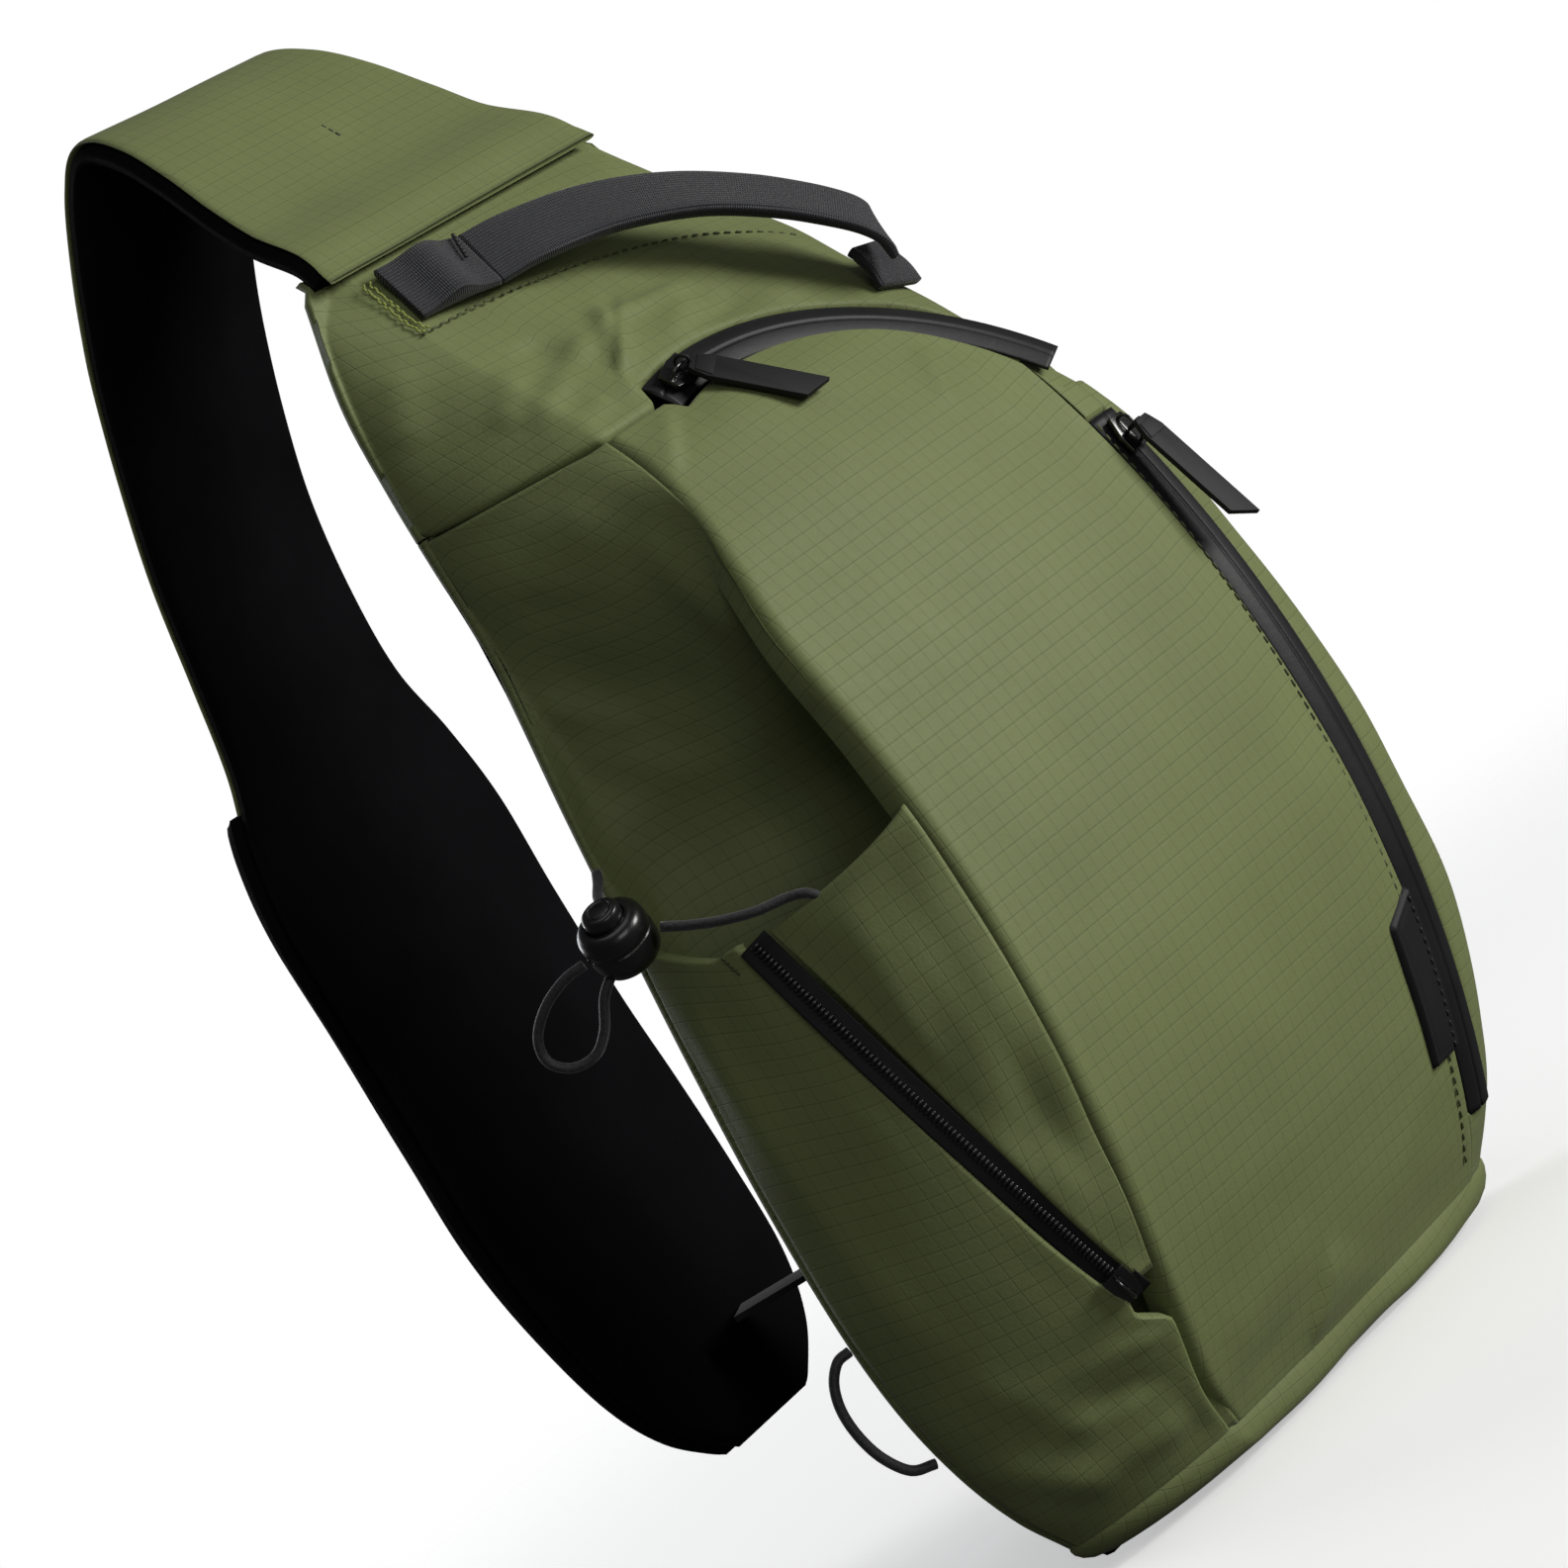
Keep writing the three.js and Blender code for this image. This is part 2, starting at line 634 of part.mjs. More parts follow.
// A pull tab with a ring round the slider's bar. The tab runs along X. The ring stands
// square to Y when the tab hangs across the bar, and square to X when it hangs along it.
function pullerSolid(length, width, slant, alongBar) {
  const ring = new THREE.TorusGeometry(RING.radius, RING.wire, 6, 14);
  if (alongBar) ring.rotateY(Math.PI / 2);
  else ring.rotateX(Math.PI / 2);
  const start = alongBar ? -RING.wire : RING.radius - 0.2;
  const tab = new THREE.Shape();
  tab.moveTo(start, -width * 0.3);
  tab.lineTo(start + 5, -width / 2);
  tab.lineTo(start + length - slant, -width / 2);
  tab.lineTo(start + length, width / 2);
  tab.lineTo(start + 5, width / 2);
  tab.lineTo(start, width * 0.3);
  const strip = new THREE.ExtrudeGeometry(tab, { depth: TAB_THICKNESS, bevelEnabled: false });
  return join(ring, strip.translate(0, 0, alongBar ? RING.radius - RING.wire : -TAB_THICKNESS / 2));
}

function basis(x, z, at) {
  const y = z.clone().cross(x).normalize();
  const forward = y.clone().cross(z).normalize();
  return new THREE.Matrix4().makeBasis(forward, y, z.clone().normalize()).setPosition(at);
}

// The puller's matrix: it starts at the middle of the bar and runs along a direction.
function pullerBasis(frame, out, direction) {
  const pivot = frame.at.clone().addScaledVector(out, BAR_Z);
  const side = direction.clone().cross(out).normalize();
  return basis(direction, side.cross(direction).normalize(), pivot);
}

// Main zip, closed end at the left.
const mainOut = mainArc.axis;
const mainFrame = arcFrame(mainArc, MAIN_ZIP.from + 6);
add('main_zip_slider', 'hardware', sliderSolid(9.2, 12),
  basis(mainFrame.tangent, mainOut, mainFrame.at));
add('main_zip_puller', 'patch', pullerSolid(36, 9.5, 5, false),
  pullerBasis(mainFrame, mainOut, new THREE.Vector3(0.5, -0.47, -0.73).normalize()));

// Front pocket zip, slider at the top.
const frontFrame = arcFrame(frontArc, frontFrom + 1.6);
add('front_zip_slider', 'hardware', sliderSolid(8.8, 11),
  basis(frontFrame.tangent, frontFrame.radial, frontFrame.at));
add('front_zip_puller', 'patch', pullerSolid(40, 8.5, 5, true),
  pullerBasis(frontFrame, frontFrame.radial, new THREE.Vector3(0.04, -0.24, -0.97).normalize()));

// Pocket expansion zip, slider at the bottom.
const pocketFrame = arcFrame(pocketArc, pocketTo - 2.2);
add('pocket_zip_slider', 'hardware', sliderSolid(7, 9),
  basis(pocketFrame.tangent.clone().negate(), pocketFrame.radial, pocketFrame.at));

// ---------- label ----------
add('label_patch', 'patch', panel({
  edges: (z) => [acrossAt(57.5, z), acrossAt(72.2, z)],
  ends: (share) => [43, 82 + 6 * share],
  columns: 4,
  rows: 6,
  lift: GAP + 1,
  thickness: 1,
}));

// ---------- grab handle ----------
const HANDLE_WIDTH = 20;
const HANDLE_THICKNESS = 2.6;

// A flat band along points, its faces turned the way the skin below it faces.
function skinBand(points, width, thickness, steps) {
  const curve = new THREE.CatmullRomCurve3(points.map((p) => new THREE.Vector3(...p)));
  const rings = [];
  for (let i = 0; i <= steps; i += 1) {
    const at = curve.getPoint(i / steps);
    const along = curve.getTangent(i / steps);
    const out = skinNormal(acrossAt(at.x, at.z), at.z);
    const wide = along.clone().cross(out).normalize();
    const thick = wide.clone().cross(along).normalize();
    rings.push([[-1, -1], [1, -1], [1, 1], [-1, 1]].map(([w, t]) => at.clone()
      .addScaledVector(wide, w * width / 2)
      .addScaledVector(thick, t * thickness / 2)));
  }
  return loft(rings);
}

// A point a little way out from the skin of the front.
function aboveSkin(x, z, lift) {
  const across = acrossAt(x, z);
  return skin(across, z).addScaledVector(skinNormal(across, z), lift).toArray();
}

const sewn = [[-43, 365, 2.6], [-35, 364, 2.4], [-26, 362.5, 2.8], [-18.2, 361, 4.2]]
  .map(([x, z, lift]) => aboveSkin(x, z, lift));
const freeFrom = aboveSkin(-17.3, 360.84, 4.3);
add('handle_sewn_end', 'webbing', skinBand(sewn, HANDLE_WIDTH, HANDLE_THICKNESS, 6));
add('grab_handle', 'webbing', skinBand(
  [freeFrom, [-4, -25, 361.5], [17, -32, 357], [36, -41, 348], [50, -50.5, 336],
    [61, -58.5, 323], [67.5, -61.5, 314], [71, -58.5, 307]],
  HANDLE_WIDTH, HANDLE_THICKNESS, 18));
add('handle_right_end', 'webbing', panel({
  edges: (z) => [acrossAt(64, z), acrossAt(76, z)],
  ends: () => [294.5, 303.5],
  columns: 3,
  rows: 2,
  lift: GAP + 4,
  thickness: 4,
}));

// ---------- shoulder strap ----------
// Underside of the strap: y, z, half width, turn in degrees about a line along the bag.
const STRAP = [
  [-1, 378.4, 57, 0], [3.5, 386, 55, 0], [16, 398, 52, 0], [26, 412, 49.5, 0],
  [36, 427, 46, 0], [47, 440, 43, 1], [59, 447.5, 40, 2], [71, 443, 38.5, 4],
  [84, 432, 38, 6], [98, 417, 38, 8], [112, 399, 38, 9], [127, 375, 38, 10],
  [140, 350, 38, 10], [150, 322, 38.5, 9], [157, 297, 41, 8], [161.5, 275, 49, 8],
  [165, 250, 54.5, 9], [169, 218, 56, 11], [173, 180, 56, 11], [175.5, 150, 56, 10],
  [176, 120, 53, 9], [175.5, 92, 46.5, 7], [175, 72, 35, 5], [174.5, 57, 18, 3],
];
const SLEEVE_FROM = 14.5;     // where the sleeve takes over from the outer cover, in stations
const PAD_THICKNESS = 6.2;
const COVER_THICKNESS = 1.5;
const SLEEVE_THICKNESS = 7;

function strapEdge(sign) {
  return new THREE.CatmullRomCurve3(STRAP.map(([y, z, half, turn]) => new THREE.Vector3(
    sign * half,
    y + sign * half * Math.tan(THREE.MathUtils.degToRad(turn)),
    z,
  )));
}
const strapLeft = strapEdge(-1);
const strapRight = strapEdge(1);

// One layer of the strap between two stations, its faces at two heights over the underside.
// Every layer has its rows at the same half stations, so that no layer cuts its neighbour.
function strapLayer(from, to, low, high, inset) {
  const columns = 4;
  const outer = [];
  const inner = [];
  const stations = [from];
  for (let at = Math.floor(from * 2 + 1) / 2; at < to - 0.1; at += 0.5) stations.push(at);
  stations.push(to);
  stations.forEach((station) => {
    const u = station / (STRAP.length - 1);
    const left = strapLeft.getPoint(u);
    const right = strapRight.getPoint(u);
    const width = right.clone().sub(left);
    const along = strapLeft.getTangent(u).add(strapRight.getTangent(u)).normalize();
    const out = width.clone().cross(along).normalize();
    const trim = inset / width.length();
    const outerRow = [];
    const innerRow = [];
    for (let j = 0; j <= columns; j += 1) {
      const share = trim + (1 - 2 * trim) * (j / columns);
      const point = left.clone().addScaledVector(width, share);
      outerRow.push(point.clone().addScaledVector(out, high));
      innerRow.push(point.clone().addScaledVector(out, low));
    }
    outer.push(outerRow);
    inner.push(innerRow);
  });
  return sheet(outer, inner);
}
const strapEnd = STRAP.length - 1;
const coverFrom = PAD_THICKNESS + GAP;
const coverTo = coverFrom + COVER_THICKNESS;
const sleeveTo = coverFrom + SLEEVE_THICKNESS;
add('strap_pad', 'lining', strapLayer(0, strapEnd, 0, PAD_THICKNESS, 0));
add('strap_cover', 'ripstop', strapLayer(0, SLEEVE_FROM, coverFrom, coverTo, 1));
add('strap_sleeve', 'lining', strapLayer(SLEEVE_FROM + 0.03, strapEnd, coverFrom, sleeveTo, 0.5));

// ---------- webbing, adjuster and hook ----------
const WEB_WIDTH = 20;
const WEB_THICKNESS = 1.8;
const WEB_FROM = new THREE.Vector3(6, 170, 87);
const WEB_TO = new THREE.Vector3(121.5, 20.5, 73);
const webAlong = WEB_TO.clone().sub(WEB_FROM).normalize();
const webLength = WEB_TO.distanceTo(WEB_FROM);
const webUp = new THREE.Vector3(0, 0, 1).addScaledVector(webAlong, -webAlong.z).normalize();

function onWebbing(distance) {
  return basis(webAlong, webUp, WEB_FROM.clone().addScaledVector(webAlong, distance));
}
add('strap_webbing', 'webbing',
  box(webLength, WEB_WIDTH, WEB_THICKNESS, webLength / 2, 0, 0), onWebbing(0));
const SLOT = WEB_THICKNESS + 0.9;
const adjusterBody = box(16, WEB_WIDTH + 7, SLOT + 3, 0, 0, 0);
const adjusterSlot = box(20, WEB_WIDTH + 1, SLOT, 0, 0, 0);
add('strap_adjuster', 'plastic', cut(adjusterBody, adjusterSlot), onWebbing(110));

// The hook's frame takes the webbing's end, and its open claw holds the loop on the bag.
const hookFrame = box(12, WEB_WIDTH + 6, 3.2, 6 + GAP, 0, 0);
const hookClaw = box(11, 12, 3.2, 17.5, 0, 0);
const hookMouth = box(5.4, 9.6, 5, 17.6, -0.2, 0);
add('strap_hook', 'plastic', cut(join(hookFrame, hookClaw), hookMouth), onWebbing(webLength));

// ---------- cord loops ----------
function cord(points, diameter, sides, steps) {
  const curve = new THREE.CatmullRomCurve3(points.map((p) => new THREE.Vector3(...p)), false, 'centripetal');
  const section = new THREE.Shape();
  for (let i = 0; i < sides; i += 1) {
    const angle = (i / sides) * 2 * Math.PI;
    const corner = [Math.cos(angle) * diameter / 2, Math.sin(angle) * diameter / 2];
    if (i) section.lineTo(...corner);
    else section.moveTo(...corner);
  }
  return new THREE.ExtrudeGeometry(section, { steps, extrudePath: curve, bevelEnabled: false });
}
const LOOP_CORD = 2.8;
const ANCHOR_LOOP = [
  [-121.2, -1.5, 84], [-124.8, 0.6, 83.6], [-128, 3, 79.5], [-129.8, 4.4, 73],
  [-129.8, 4.6, 65], [-128.4, 3.6, 57.5], [-125, 1.6, 51], [-119.6, -1.2, 48.6],
];
add('anchor_loop_left', 'elastic', cord(ANCHOR_LOOP, LOOP_CORD, 8, 14));
add('anchor_loop_right', 'elastic', cord(ANCHOR_LOOP.map(([x, y, z]) => [-x, y, z]), LOOP_CORD, 8, 14));

// ---------- drawcord and cord lock ----------
const LOCK_AT = new THREE.Vector3(-115, -15.5, 200.5);
const LOCK_AXIS = new THREE.Vector3(-0.38, -0.38, 0.84).normalize();
const LOCK = { radius: 9.4, height: 14.5, bore: 5.2, boreDepth: 11 };
const BUTTON_TRAVEL = 3;

function lathe(profilePoints, segments) {
  const points = profilePoints.map(([r, z]) => new THREE.Vector2(r, z));
  return new THREE.LatheGeometry(points, segments).rotateX(Math.PI / 2);
}

const lockBasis = basis(new THREE.Vector3(0.707, -0.707, 0), LOCK_AXIS, LOCK_AT);
const half = LOCK.height / 2;
const boreFloor = half - LOCK.boreDepth;
add('cord_lock_barrel', 'plastic', lathe([
  [0, -half], [LOCK.radius - 3, -half], [LOCK.radius - 0.6, -half + 2], [LOCK.radius, -half + 5],
  [LOCK.radius, half - 4], [LOCK.radius - 0.8, half - 1.2], [LOCK.radius - 2.4, half],
  [LOCK.bore + 0.3, half], [LOCK.bore + 0.3, boreFloor], [0, boreFloor],
], 24), lockBasis);
add('cord_lock_button', 'plastic', lathe([
  [0, boreFloor + 5.4], [LOCK.bore, boreFloor + 5.4], [LOCK.bore, half + 2.6],
  [LOCK.bore - 0.9, half + 3.4], [0, half + 3.6],
], 20), lockBasis);

function springSolid(radius, wire, height, turns) {
  const points = [];
  const perTurn = 8;
  for (let i = 0; i <= turns * perTurn; i += 1) {
    const angle = (i / perTurn) * 2 * Math.PI;
    const z = wire / 2 + (height - wire) * (i / (turns * perTurn));
    points.push([radius * Math.cos(angle), radius * Math.sin(angle), z]);
  }
  return cord(points, wire, 5, turns * perTurn);
}
const SPRING_HEIGHT = 5.4 - BUTTON_TRAVEL - 2 * GAP;
add('cord_lock_spring', 'spring_steel',
  springSolid(3.6, 0.5, SPRING_HEIGHT, 3).translate(0, 0, boreFloor + GAP), lockBasis);

const DRAWCORD = 2.7;
add('drawcord_loop', 'elastic', cord([
  [-122.3, -7.5, 200.5], [-126, -2.6, 200.3], [-130.4, 4, 197.6], [-133.6, 9.6, 192.4],
  [-134, 11.4, 186.2], [-131.4, 8.4, 181.4], [-127.4, 3, 180.6], [-124.4, -1.8, 184.4],
  [-122.6, -6.6, 190.8],
], DRAWCORD, 8, 14));
add('drawcord_front_leg', 'elastic', cord([
  [-110.8, -26, 197], [-108.6, -32, 193.4], [-105.4, -39.4, 189.6], [-101, -46.6, 186.6],
  [-96, -52.4, 185],
], DRAWCORD, 8, 9));
add('drawcord_rear_leg', 'elastic', cord([
  [-108.6, -10.4, 209.6], [-105.6, -8, 212], [-101.6, -6.4, 214.4], [-99, -5.8, 217],
], DRAWCORD, 8, 6));

export default group;
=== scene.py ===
# Looks of the sling bag. Shapes are worked out in millimetres with the back panel at y = 0 and
# the base at z = 0, like the CAD, and row() turns a point into the row frame in metres.
import bpy
import math
import numpy as np
from mathutils import Vector, Matrix


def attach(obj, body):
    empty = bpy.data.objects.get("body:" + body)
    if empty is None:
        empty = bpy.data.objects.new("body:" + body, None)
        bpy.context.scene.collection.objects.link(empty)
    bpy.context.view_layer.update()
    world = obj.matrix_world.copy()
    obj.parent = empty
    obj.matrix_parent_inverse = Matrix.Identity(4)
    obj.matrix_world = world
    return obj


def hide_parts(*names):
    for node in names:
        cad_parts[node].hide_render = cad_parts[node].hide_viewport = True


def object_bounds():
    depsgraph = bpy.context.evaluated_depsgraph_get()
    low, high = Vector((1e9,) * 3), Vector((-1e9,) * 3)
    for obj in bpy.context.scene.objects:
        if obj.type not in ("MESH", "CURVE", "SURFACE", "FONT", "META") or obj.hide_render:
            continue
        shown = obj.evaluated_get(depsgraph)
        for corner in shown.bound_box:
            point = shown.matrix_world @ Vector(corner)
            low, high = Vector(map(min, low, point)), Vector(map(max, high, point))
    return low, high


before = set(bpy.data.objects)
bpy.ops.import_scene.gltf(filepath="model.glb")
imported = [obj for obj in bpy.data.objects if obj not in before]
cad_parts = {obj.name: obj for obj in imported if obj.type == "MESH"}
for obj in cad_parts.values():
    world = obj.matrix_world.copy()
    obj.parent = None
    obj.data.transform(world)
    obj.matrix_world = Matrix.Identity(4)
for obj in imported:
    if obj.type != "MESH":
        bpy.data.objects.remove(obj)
cad_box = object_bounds()

CREST = np.array([0.0, 59.0, 447.5])
BASE_Z = 9.0
TOP_Z = 377.6
SEAM_Z = 303.6
FRONT_ZIP_X = 79.0
FRONT_RIGHT_X = 73.0
FRONT_RADIUS = 300.0
FRONT_CENTRE = np.array([FRONT_ZIP_X, 216.0, 175.0])


def row(points):
    return (np.asarray(points, float) - CREST) / 1000.0


def unit(vectors):
    return vectors / np.linalg.norm(vectors, axis=-1, keepdims=True)


# ---------- camera, floor and light ----------
SENSOR_WIDTH = 36
IMAGE_WIDTH = 1585


def add_object(name, data):
    obj = bpy.data.objects.new(name, data)
    bpy.context.collection.objects.link(obj)
    return obj


def look_from(azimuth, elevation, aim, distance, lens, roll):
    a = math.radians(azimuth)
    e = math.radians(elevation)
    back = Vector((math.sin(a) * math.cos(e), -math.cos(a) * math.cos(e), math.sin(e)))
    camera = add_object("camera", bpy.data.cameras.new("camera"))
    camera.data.sensor_width = SENSOR_WIDTH
    camera.data.lens = lens
    camera.data.clip_start = 0.05
    camera.data.clip_end = 60
    camera.location = Vector(aim) + back * distance
    turn = (-back).to_track_quat("-Z", "Y").to_matrix() @ Matrix.Rotation(math.radians(roll), 3, "Z")
    camera.rotation_mode = "QUATERNION"
    camera.rotation_quaternion = turn.to_quaternion()
    bpy.context.scene.camera = camera


look_from(azimuth=-45, elevation=1, aim=(-0.0106, -0.0484, -0.2415), distance=1.312,
          lens=5000 / IMAGE_WIDTH * SENSOR_WIDTH, roll=-36)


def plain_material(name, color, roughness):
    material = bpy.data.materials.new(name)
    material.use_nodes = True
    shader = material.node_tree.nodes["Principled BSDF"]
    shader.inputs["Base Color"].default_value = (*color, 1)
    shader.inputs["Roughness"].default_value = roughness
    return material


FLOOR_REACH = 3
FLOOR_FADES = (0.62, 1.3)
floor_z = cad_box[0].z - 0.002
floor_material = plain_material("floor_pale", (0.9, 0.9, 0.9), 0.8)


def seen_mix(nodes, links, unseen, seen):
    """One shader for what is seen directly and another for the light it gives."""
    rays = nodes.new("ShaderNodeLightPath")
    mixed = nodes.new("ShaderNodeMixShader")
    links.new(rays.outputs["Is Camera Ray"], mixed.inputs["Fac"])
    links.new(unseen, mixed.inputs[1])
    links.new(seen, mixed.inputs[2])
    return mixed.outputs["Shader"]


def fade_floor(material):
    """The floor is pale where it is seen, gives little light back and fades out round the bag."""
    nodes, links = material.node_tree.nodes, material.node_tree.links
    place = nodes.new("ShaderNodeTexCoord")
    reach = nodes.new("ShaderNodeVectorMath")
    reach.operation = "LENGTH"
    fade = nodes.new("ShaderNodeMapRange")
    fade.interpolation_type = "SMOOTHSTEP"
    fade.inputs["From Min"].default_value = FLOOR_FADES[0]
    fade.inputs["From Max"].default_value = FLOOR_FADES[1]
    links.new(place.outputs["Object"], reach.inputs[0])
    links.new(reach.outputs["Value"], fade.inputs["Value"])
    clear = nodes.new("ShaderNodeBsdfTransparent")
    dim = nodes.new("ShaderNodeBsdfDiffuse")
    dim.inputs["Color"].default_value = (0.12, 0.12, 0.12, 1)
    out_mix = nodes.new("ShaderNodeMixShader")
    shader = nodes["Principled BSDF"]
    shader.inputs["Emission Color"].default_value = (1, 1, 1, 1)
    shader.inputs["Emission Strength"].default_value = 0.42
    seen = seen_mix(nodes, links, dim.outputs["BSDF"], shader.outputs["BSDF"])
    links.new(fade.outputs["Result"], out_mix.inputs["Fac"])
    links.new(seen, out_mix.inputs[1])
    links.new(clear.outputs["BSDF"], out_mix.inputs[2])
    links.new(out_mix.outputs["Shader"], nodes["Material Output"].inputs["Surface"])


fade_floor(floor_material)
floor_mesh = bpy.data.meshes.new("floor")
floor_mesh.from_pydata([(x * FLOOR_REACH, y * FLOOR_REACH, floor_z)
                        for x, y in ((-1, -1), (1, -1), (1, 1), (-1, 1))], [], [(0, 1, 2, 3)])
floor = add_object("floor", floor_mesh)
floor_mesh.materials.append(floor_material)


def area_light(name, place, target, size, power, color):
    data = bpy.data.lights.new(name, "AREA")
    data.size = size
    data.energy = power
    data.color = color
    light = add_object(name, data)
    light.location = place
    light.rotation_mode = "QUATERNION"
    light.rotation_quaternion = (Vector(target) - Vector(place)).to_track_quat("-Z", "Y")


area_light("key", (1.2, -2.1, 0.25), (0, -0.06, -0.2), size=1.1, power=59, color=(1, 0.985, 0.96))
area_light("top", (-0.3, -0.5, 1.6), (0, 0, -0.1), size=1.2, power=4, color=(0.97, 0.985, 1))
area_light("fill", (-1.1, -2.1, 0.1), (0, 0, -0.25), size=1.2, power=9, color=(1, 0.99, 0.97))
area_light("rim", (0.5, 2.2, 0.5), (0, 0, -0.2), size=1.4, power=22, color=(0.94, 0.97, 1))

world = bpy.data.worlds.new("studio")
bpy.context.scene.world = world
world.use_nodes = True
sky_nodes, sky_links = world.node_tree.nodes, world.node_tree.links
backdrop = sky_nodes.new("ShaderNodeBackground")
for background, strength in ((sky_nodes["Background"], 0.055), (backdrop, 1.0)):
    background.inputs["Color"].default_value = (1, 1, 1, 1)
    background.inputs["Strength"].default_value = strength
sky = seen_mix(sky_nodes, sky_links, sky_nodes["Background"].outputs["Background"],
               backdrop.outputs["Background"])
sky_links.new(sky, sky_nodes["World Output"].inputs["Surface"])
bpy.context.scene.view_settings.view_transform = "Standard"


# ---------- materials ----------
class Material:
    """A node material built step by step."""

    def __init__(self, name, color, roughness):
        self.data = plain_material(name, color, roughness)
        self.nodes = self.data.node_tree.nodes
        self.links = self.data.node_tree.links
        self.shader = self.nodes["Principled BSDF"]
        self.height = None

    def surface(self, **values):
        """Sets plain values on the shader, named with underscores for spaces."""
        for key, value in values.items():
            self.shader.inputs[key.replace("_", " ")].default_value = value

    def math(self, operation, a, b=None):
        made = self.nodes.new("ShaderNodeMath")
        made.operation = operation
        for socket, value in zip(made.inputs, (a, b)):
            if value is None:
                continue
            if isinstance(value, (int, float)):
                socket.default_value = value
            else:
                self.links.new(value, socket)
        return made.outputs[0]

    def uv(self):
        made = self.nodes.new("ShaderNodeUVMap")
        made.uv_map = "cloth"
        parts = self.nodes.new("ShaderNodeSeparateXYZ")
        self.links.new(made.outputs["UV"], parts.inputs["Vector"])
        return parts.outputs["X"], parts.outputs["Y"]

    def noise(self, scale, detail, rough=0.55):
        made = self.nodes.new("ShaderNodeTexNoise")
        made.inputs["Scale"].default_value = scale
        made.inputs["Detail"].default_value = detail
        made.inputs["Roughness"].default_value = rough
        place = self.nodes.new("ShaderNodeTexCoord")
        self.links.new(place.outputs["Object"], made.inputs["Vector"])
        return made.outputs["Fac"]

    def line(self, value, pitch, width):
        """1 on lines of a width every pitch, 0 between them, with soft edges."""
        share = self.math("FRACT", self.math("DIVIDE", value, pitch))
        away = self.math("ABSOLUTE", self.math("SUBTRACT", share, 0.5))
        edge = self.nodes.new("ShaderNodeMapRange")
        edge.interpolation_type = "SMOOTHSTEP"
        edge.inputs["From Min"].default_value = width / pitch
        edge.inputs["From Max"].default_value = 0.0
        self.links.new(away, edge.inputs["Value"])
        return edge.outputs["Result"]

    def add_height(self, value, amount):
        scaled = self.math("MULTIPLY", value, amount)
        self.height = scaled if self.height is None else self.math("ADD", self.height, scaled)

    def bump(self, distance, strength):
        made = self.nodes.new("ShaderNodeBump")
        made.inputs["Distance"].default_value = distance
        made.inputs["Strength"].default_value = strength
        self.links.new(self.height, made.inputs["Height"])
        self.links.new(made.outputs["Normal"], self.shader.inputs["Normal"])

    def ramp(self, value, low, high, at):
        made = self.nodes.new("ShaderNodeValToRGB")
        made.color_ramp.elements[0].color = (*low, 1)
        made.color_ramp.elements[1].color = (*high, 1)
        made.color_ramp.elements[0].position = at[0]
        made.color_ramp.elements[1].position = at[1]
        self.links.new(value, made.inputs["Fac"])
        return made.outputs["Color"]

    def mix(self, share, a, b):
        made = self.nodes.new("ShaderNodeMix")
        made.data_type = "RGBA"
        for socket, value in ((made.inputs[0], share), (made.inputs[6], a), (made.inputs[7], b)):
            if isinstance(value, (int, float)):
                socket.default_value = value
            elif isinstance(value, tuple):
                socket.default_value = (*value, 1)
            else:
                self.links.new(value, socket)
        return made.outputs[2]

    def paint(self, color):
        self.links.new(color, self.shader.inputs["Base Color"])

    def rough(self, value, low, high):
        made = self.nodes.new("ShaderNodeMapRange")
        made.inputs["To Min"].default_value = low
        made.inputs["To Max"].default_value = high
        self.links.new(value, made.inputs["Value"])
        self.links.new(made.outputs["Result"], self.shader.inputs["Roughness"])


def scale(color, factor):
    return tuple(c * factor for c in color)


def ripstop_material(name, color, grid=0.0047, line=0.0003):
    mat = Material(name, color, 0.6)
    u, v = mat.uv()
    weft = mat.line(v, grid, line)
    warp = mat.line(u, grid, line)
    # a painted highlight: a lighter line just beside each weft grid line, as light catching the raised
    # yarn
    weft_painted_highlight = mat.line(mat.math("ADD", v, 2 * line), grid, line)
    broad = mat.noise(14, 3)
    fine = mat.noise(950, 2, rough=0.7)
    yarn = mat.noise(260, 3, rough=0.65)
    base = mat.ramp(broad, scale(color, 0.9), scale(color, 1.09), (0.3, 0.7))
    base = mat.mix(mat.math("MULTIPLY", fine, 0.35), base, scale(color, 1.28))
    # the weft and warp grid lines are painted darker: painted shade along the raised grid yarns, whose
    # real relief the bump height below gives
    base = mat.mix(mat.math("MULTIPLY", weft, 0.36), base, scale(color, 0.42))
    base = mat.mix(mat.math("MULTIPLY", warp, 0.27), base, scale(color, 0.5))
    base = mat.mix(mat.math("MULTIPLY", weft_painted_highlight, 0.1), base, scale(color, 1.7))
    mat.paint(base)
    mat.rough(yarn, 0.52, 0.7)
    mat.add_height(weft, -0.06)
    mat.add_height(warp, -0.05)
    mat.add_height(fine, 0.10)
    mat.add_height(yarn, 0.07)
    mat.bump(0.001, 0.75)
    mat.surface(Sheen_Weight=0.06, Sheen_Roughness=0.4, Specular_IOR_Level=0.22)
    return mat.data


def cloth_black(name, color, grain, depth, rough):
    mat = Material(name, color, rough)
    fine = mat.noise(grain, 3, rough=0.7)
    broad = mat.noise(20, 3)
    mat.paint(mat.ramp(broad, scale(color, 0.75), scale(color, 1.35), (0.3, 0.7)))
    mat.rough(fine, rough - 0.08, rough + 0.06)
    mat.add_height(fine, 0.25)
    mat.add_height(broad, 0.5)
    mat.bump(depth, 0.6)
    mat.surface(Specular_IOR_Level=0.03)
    return mat.data


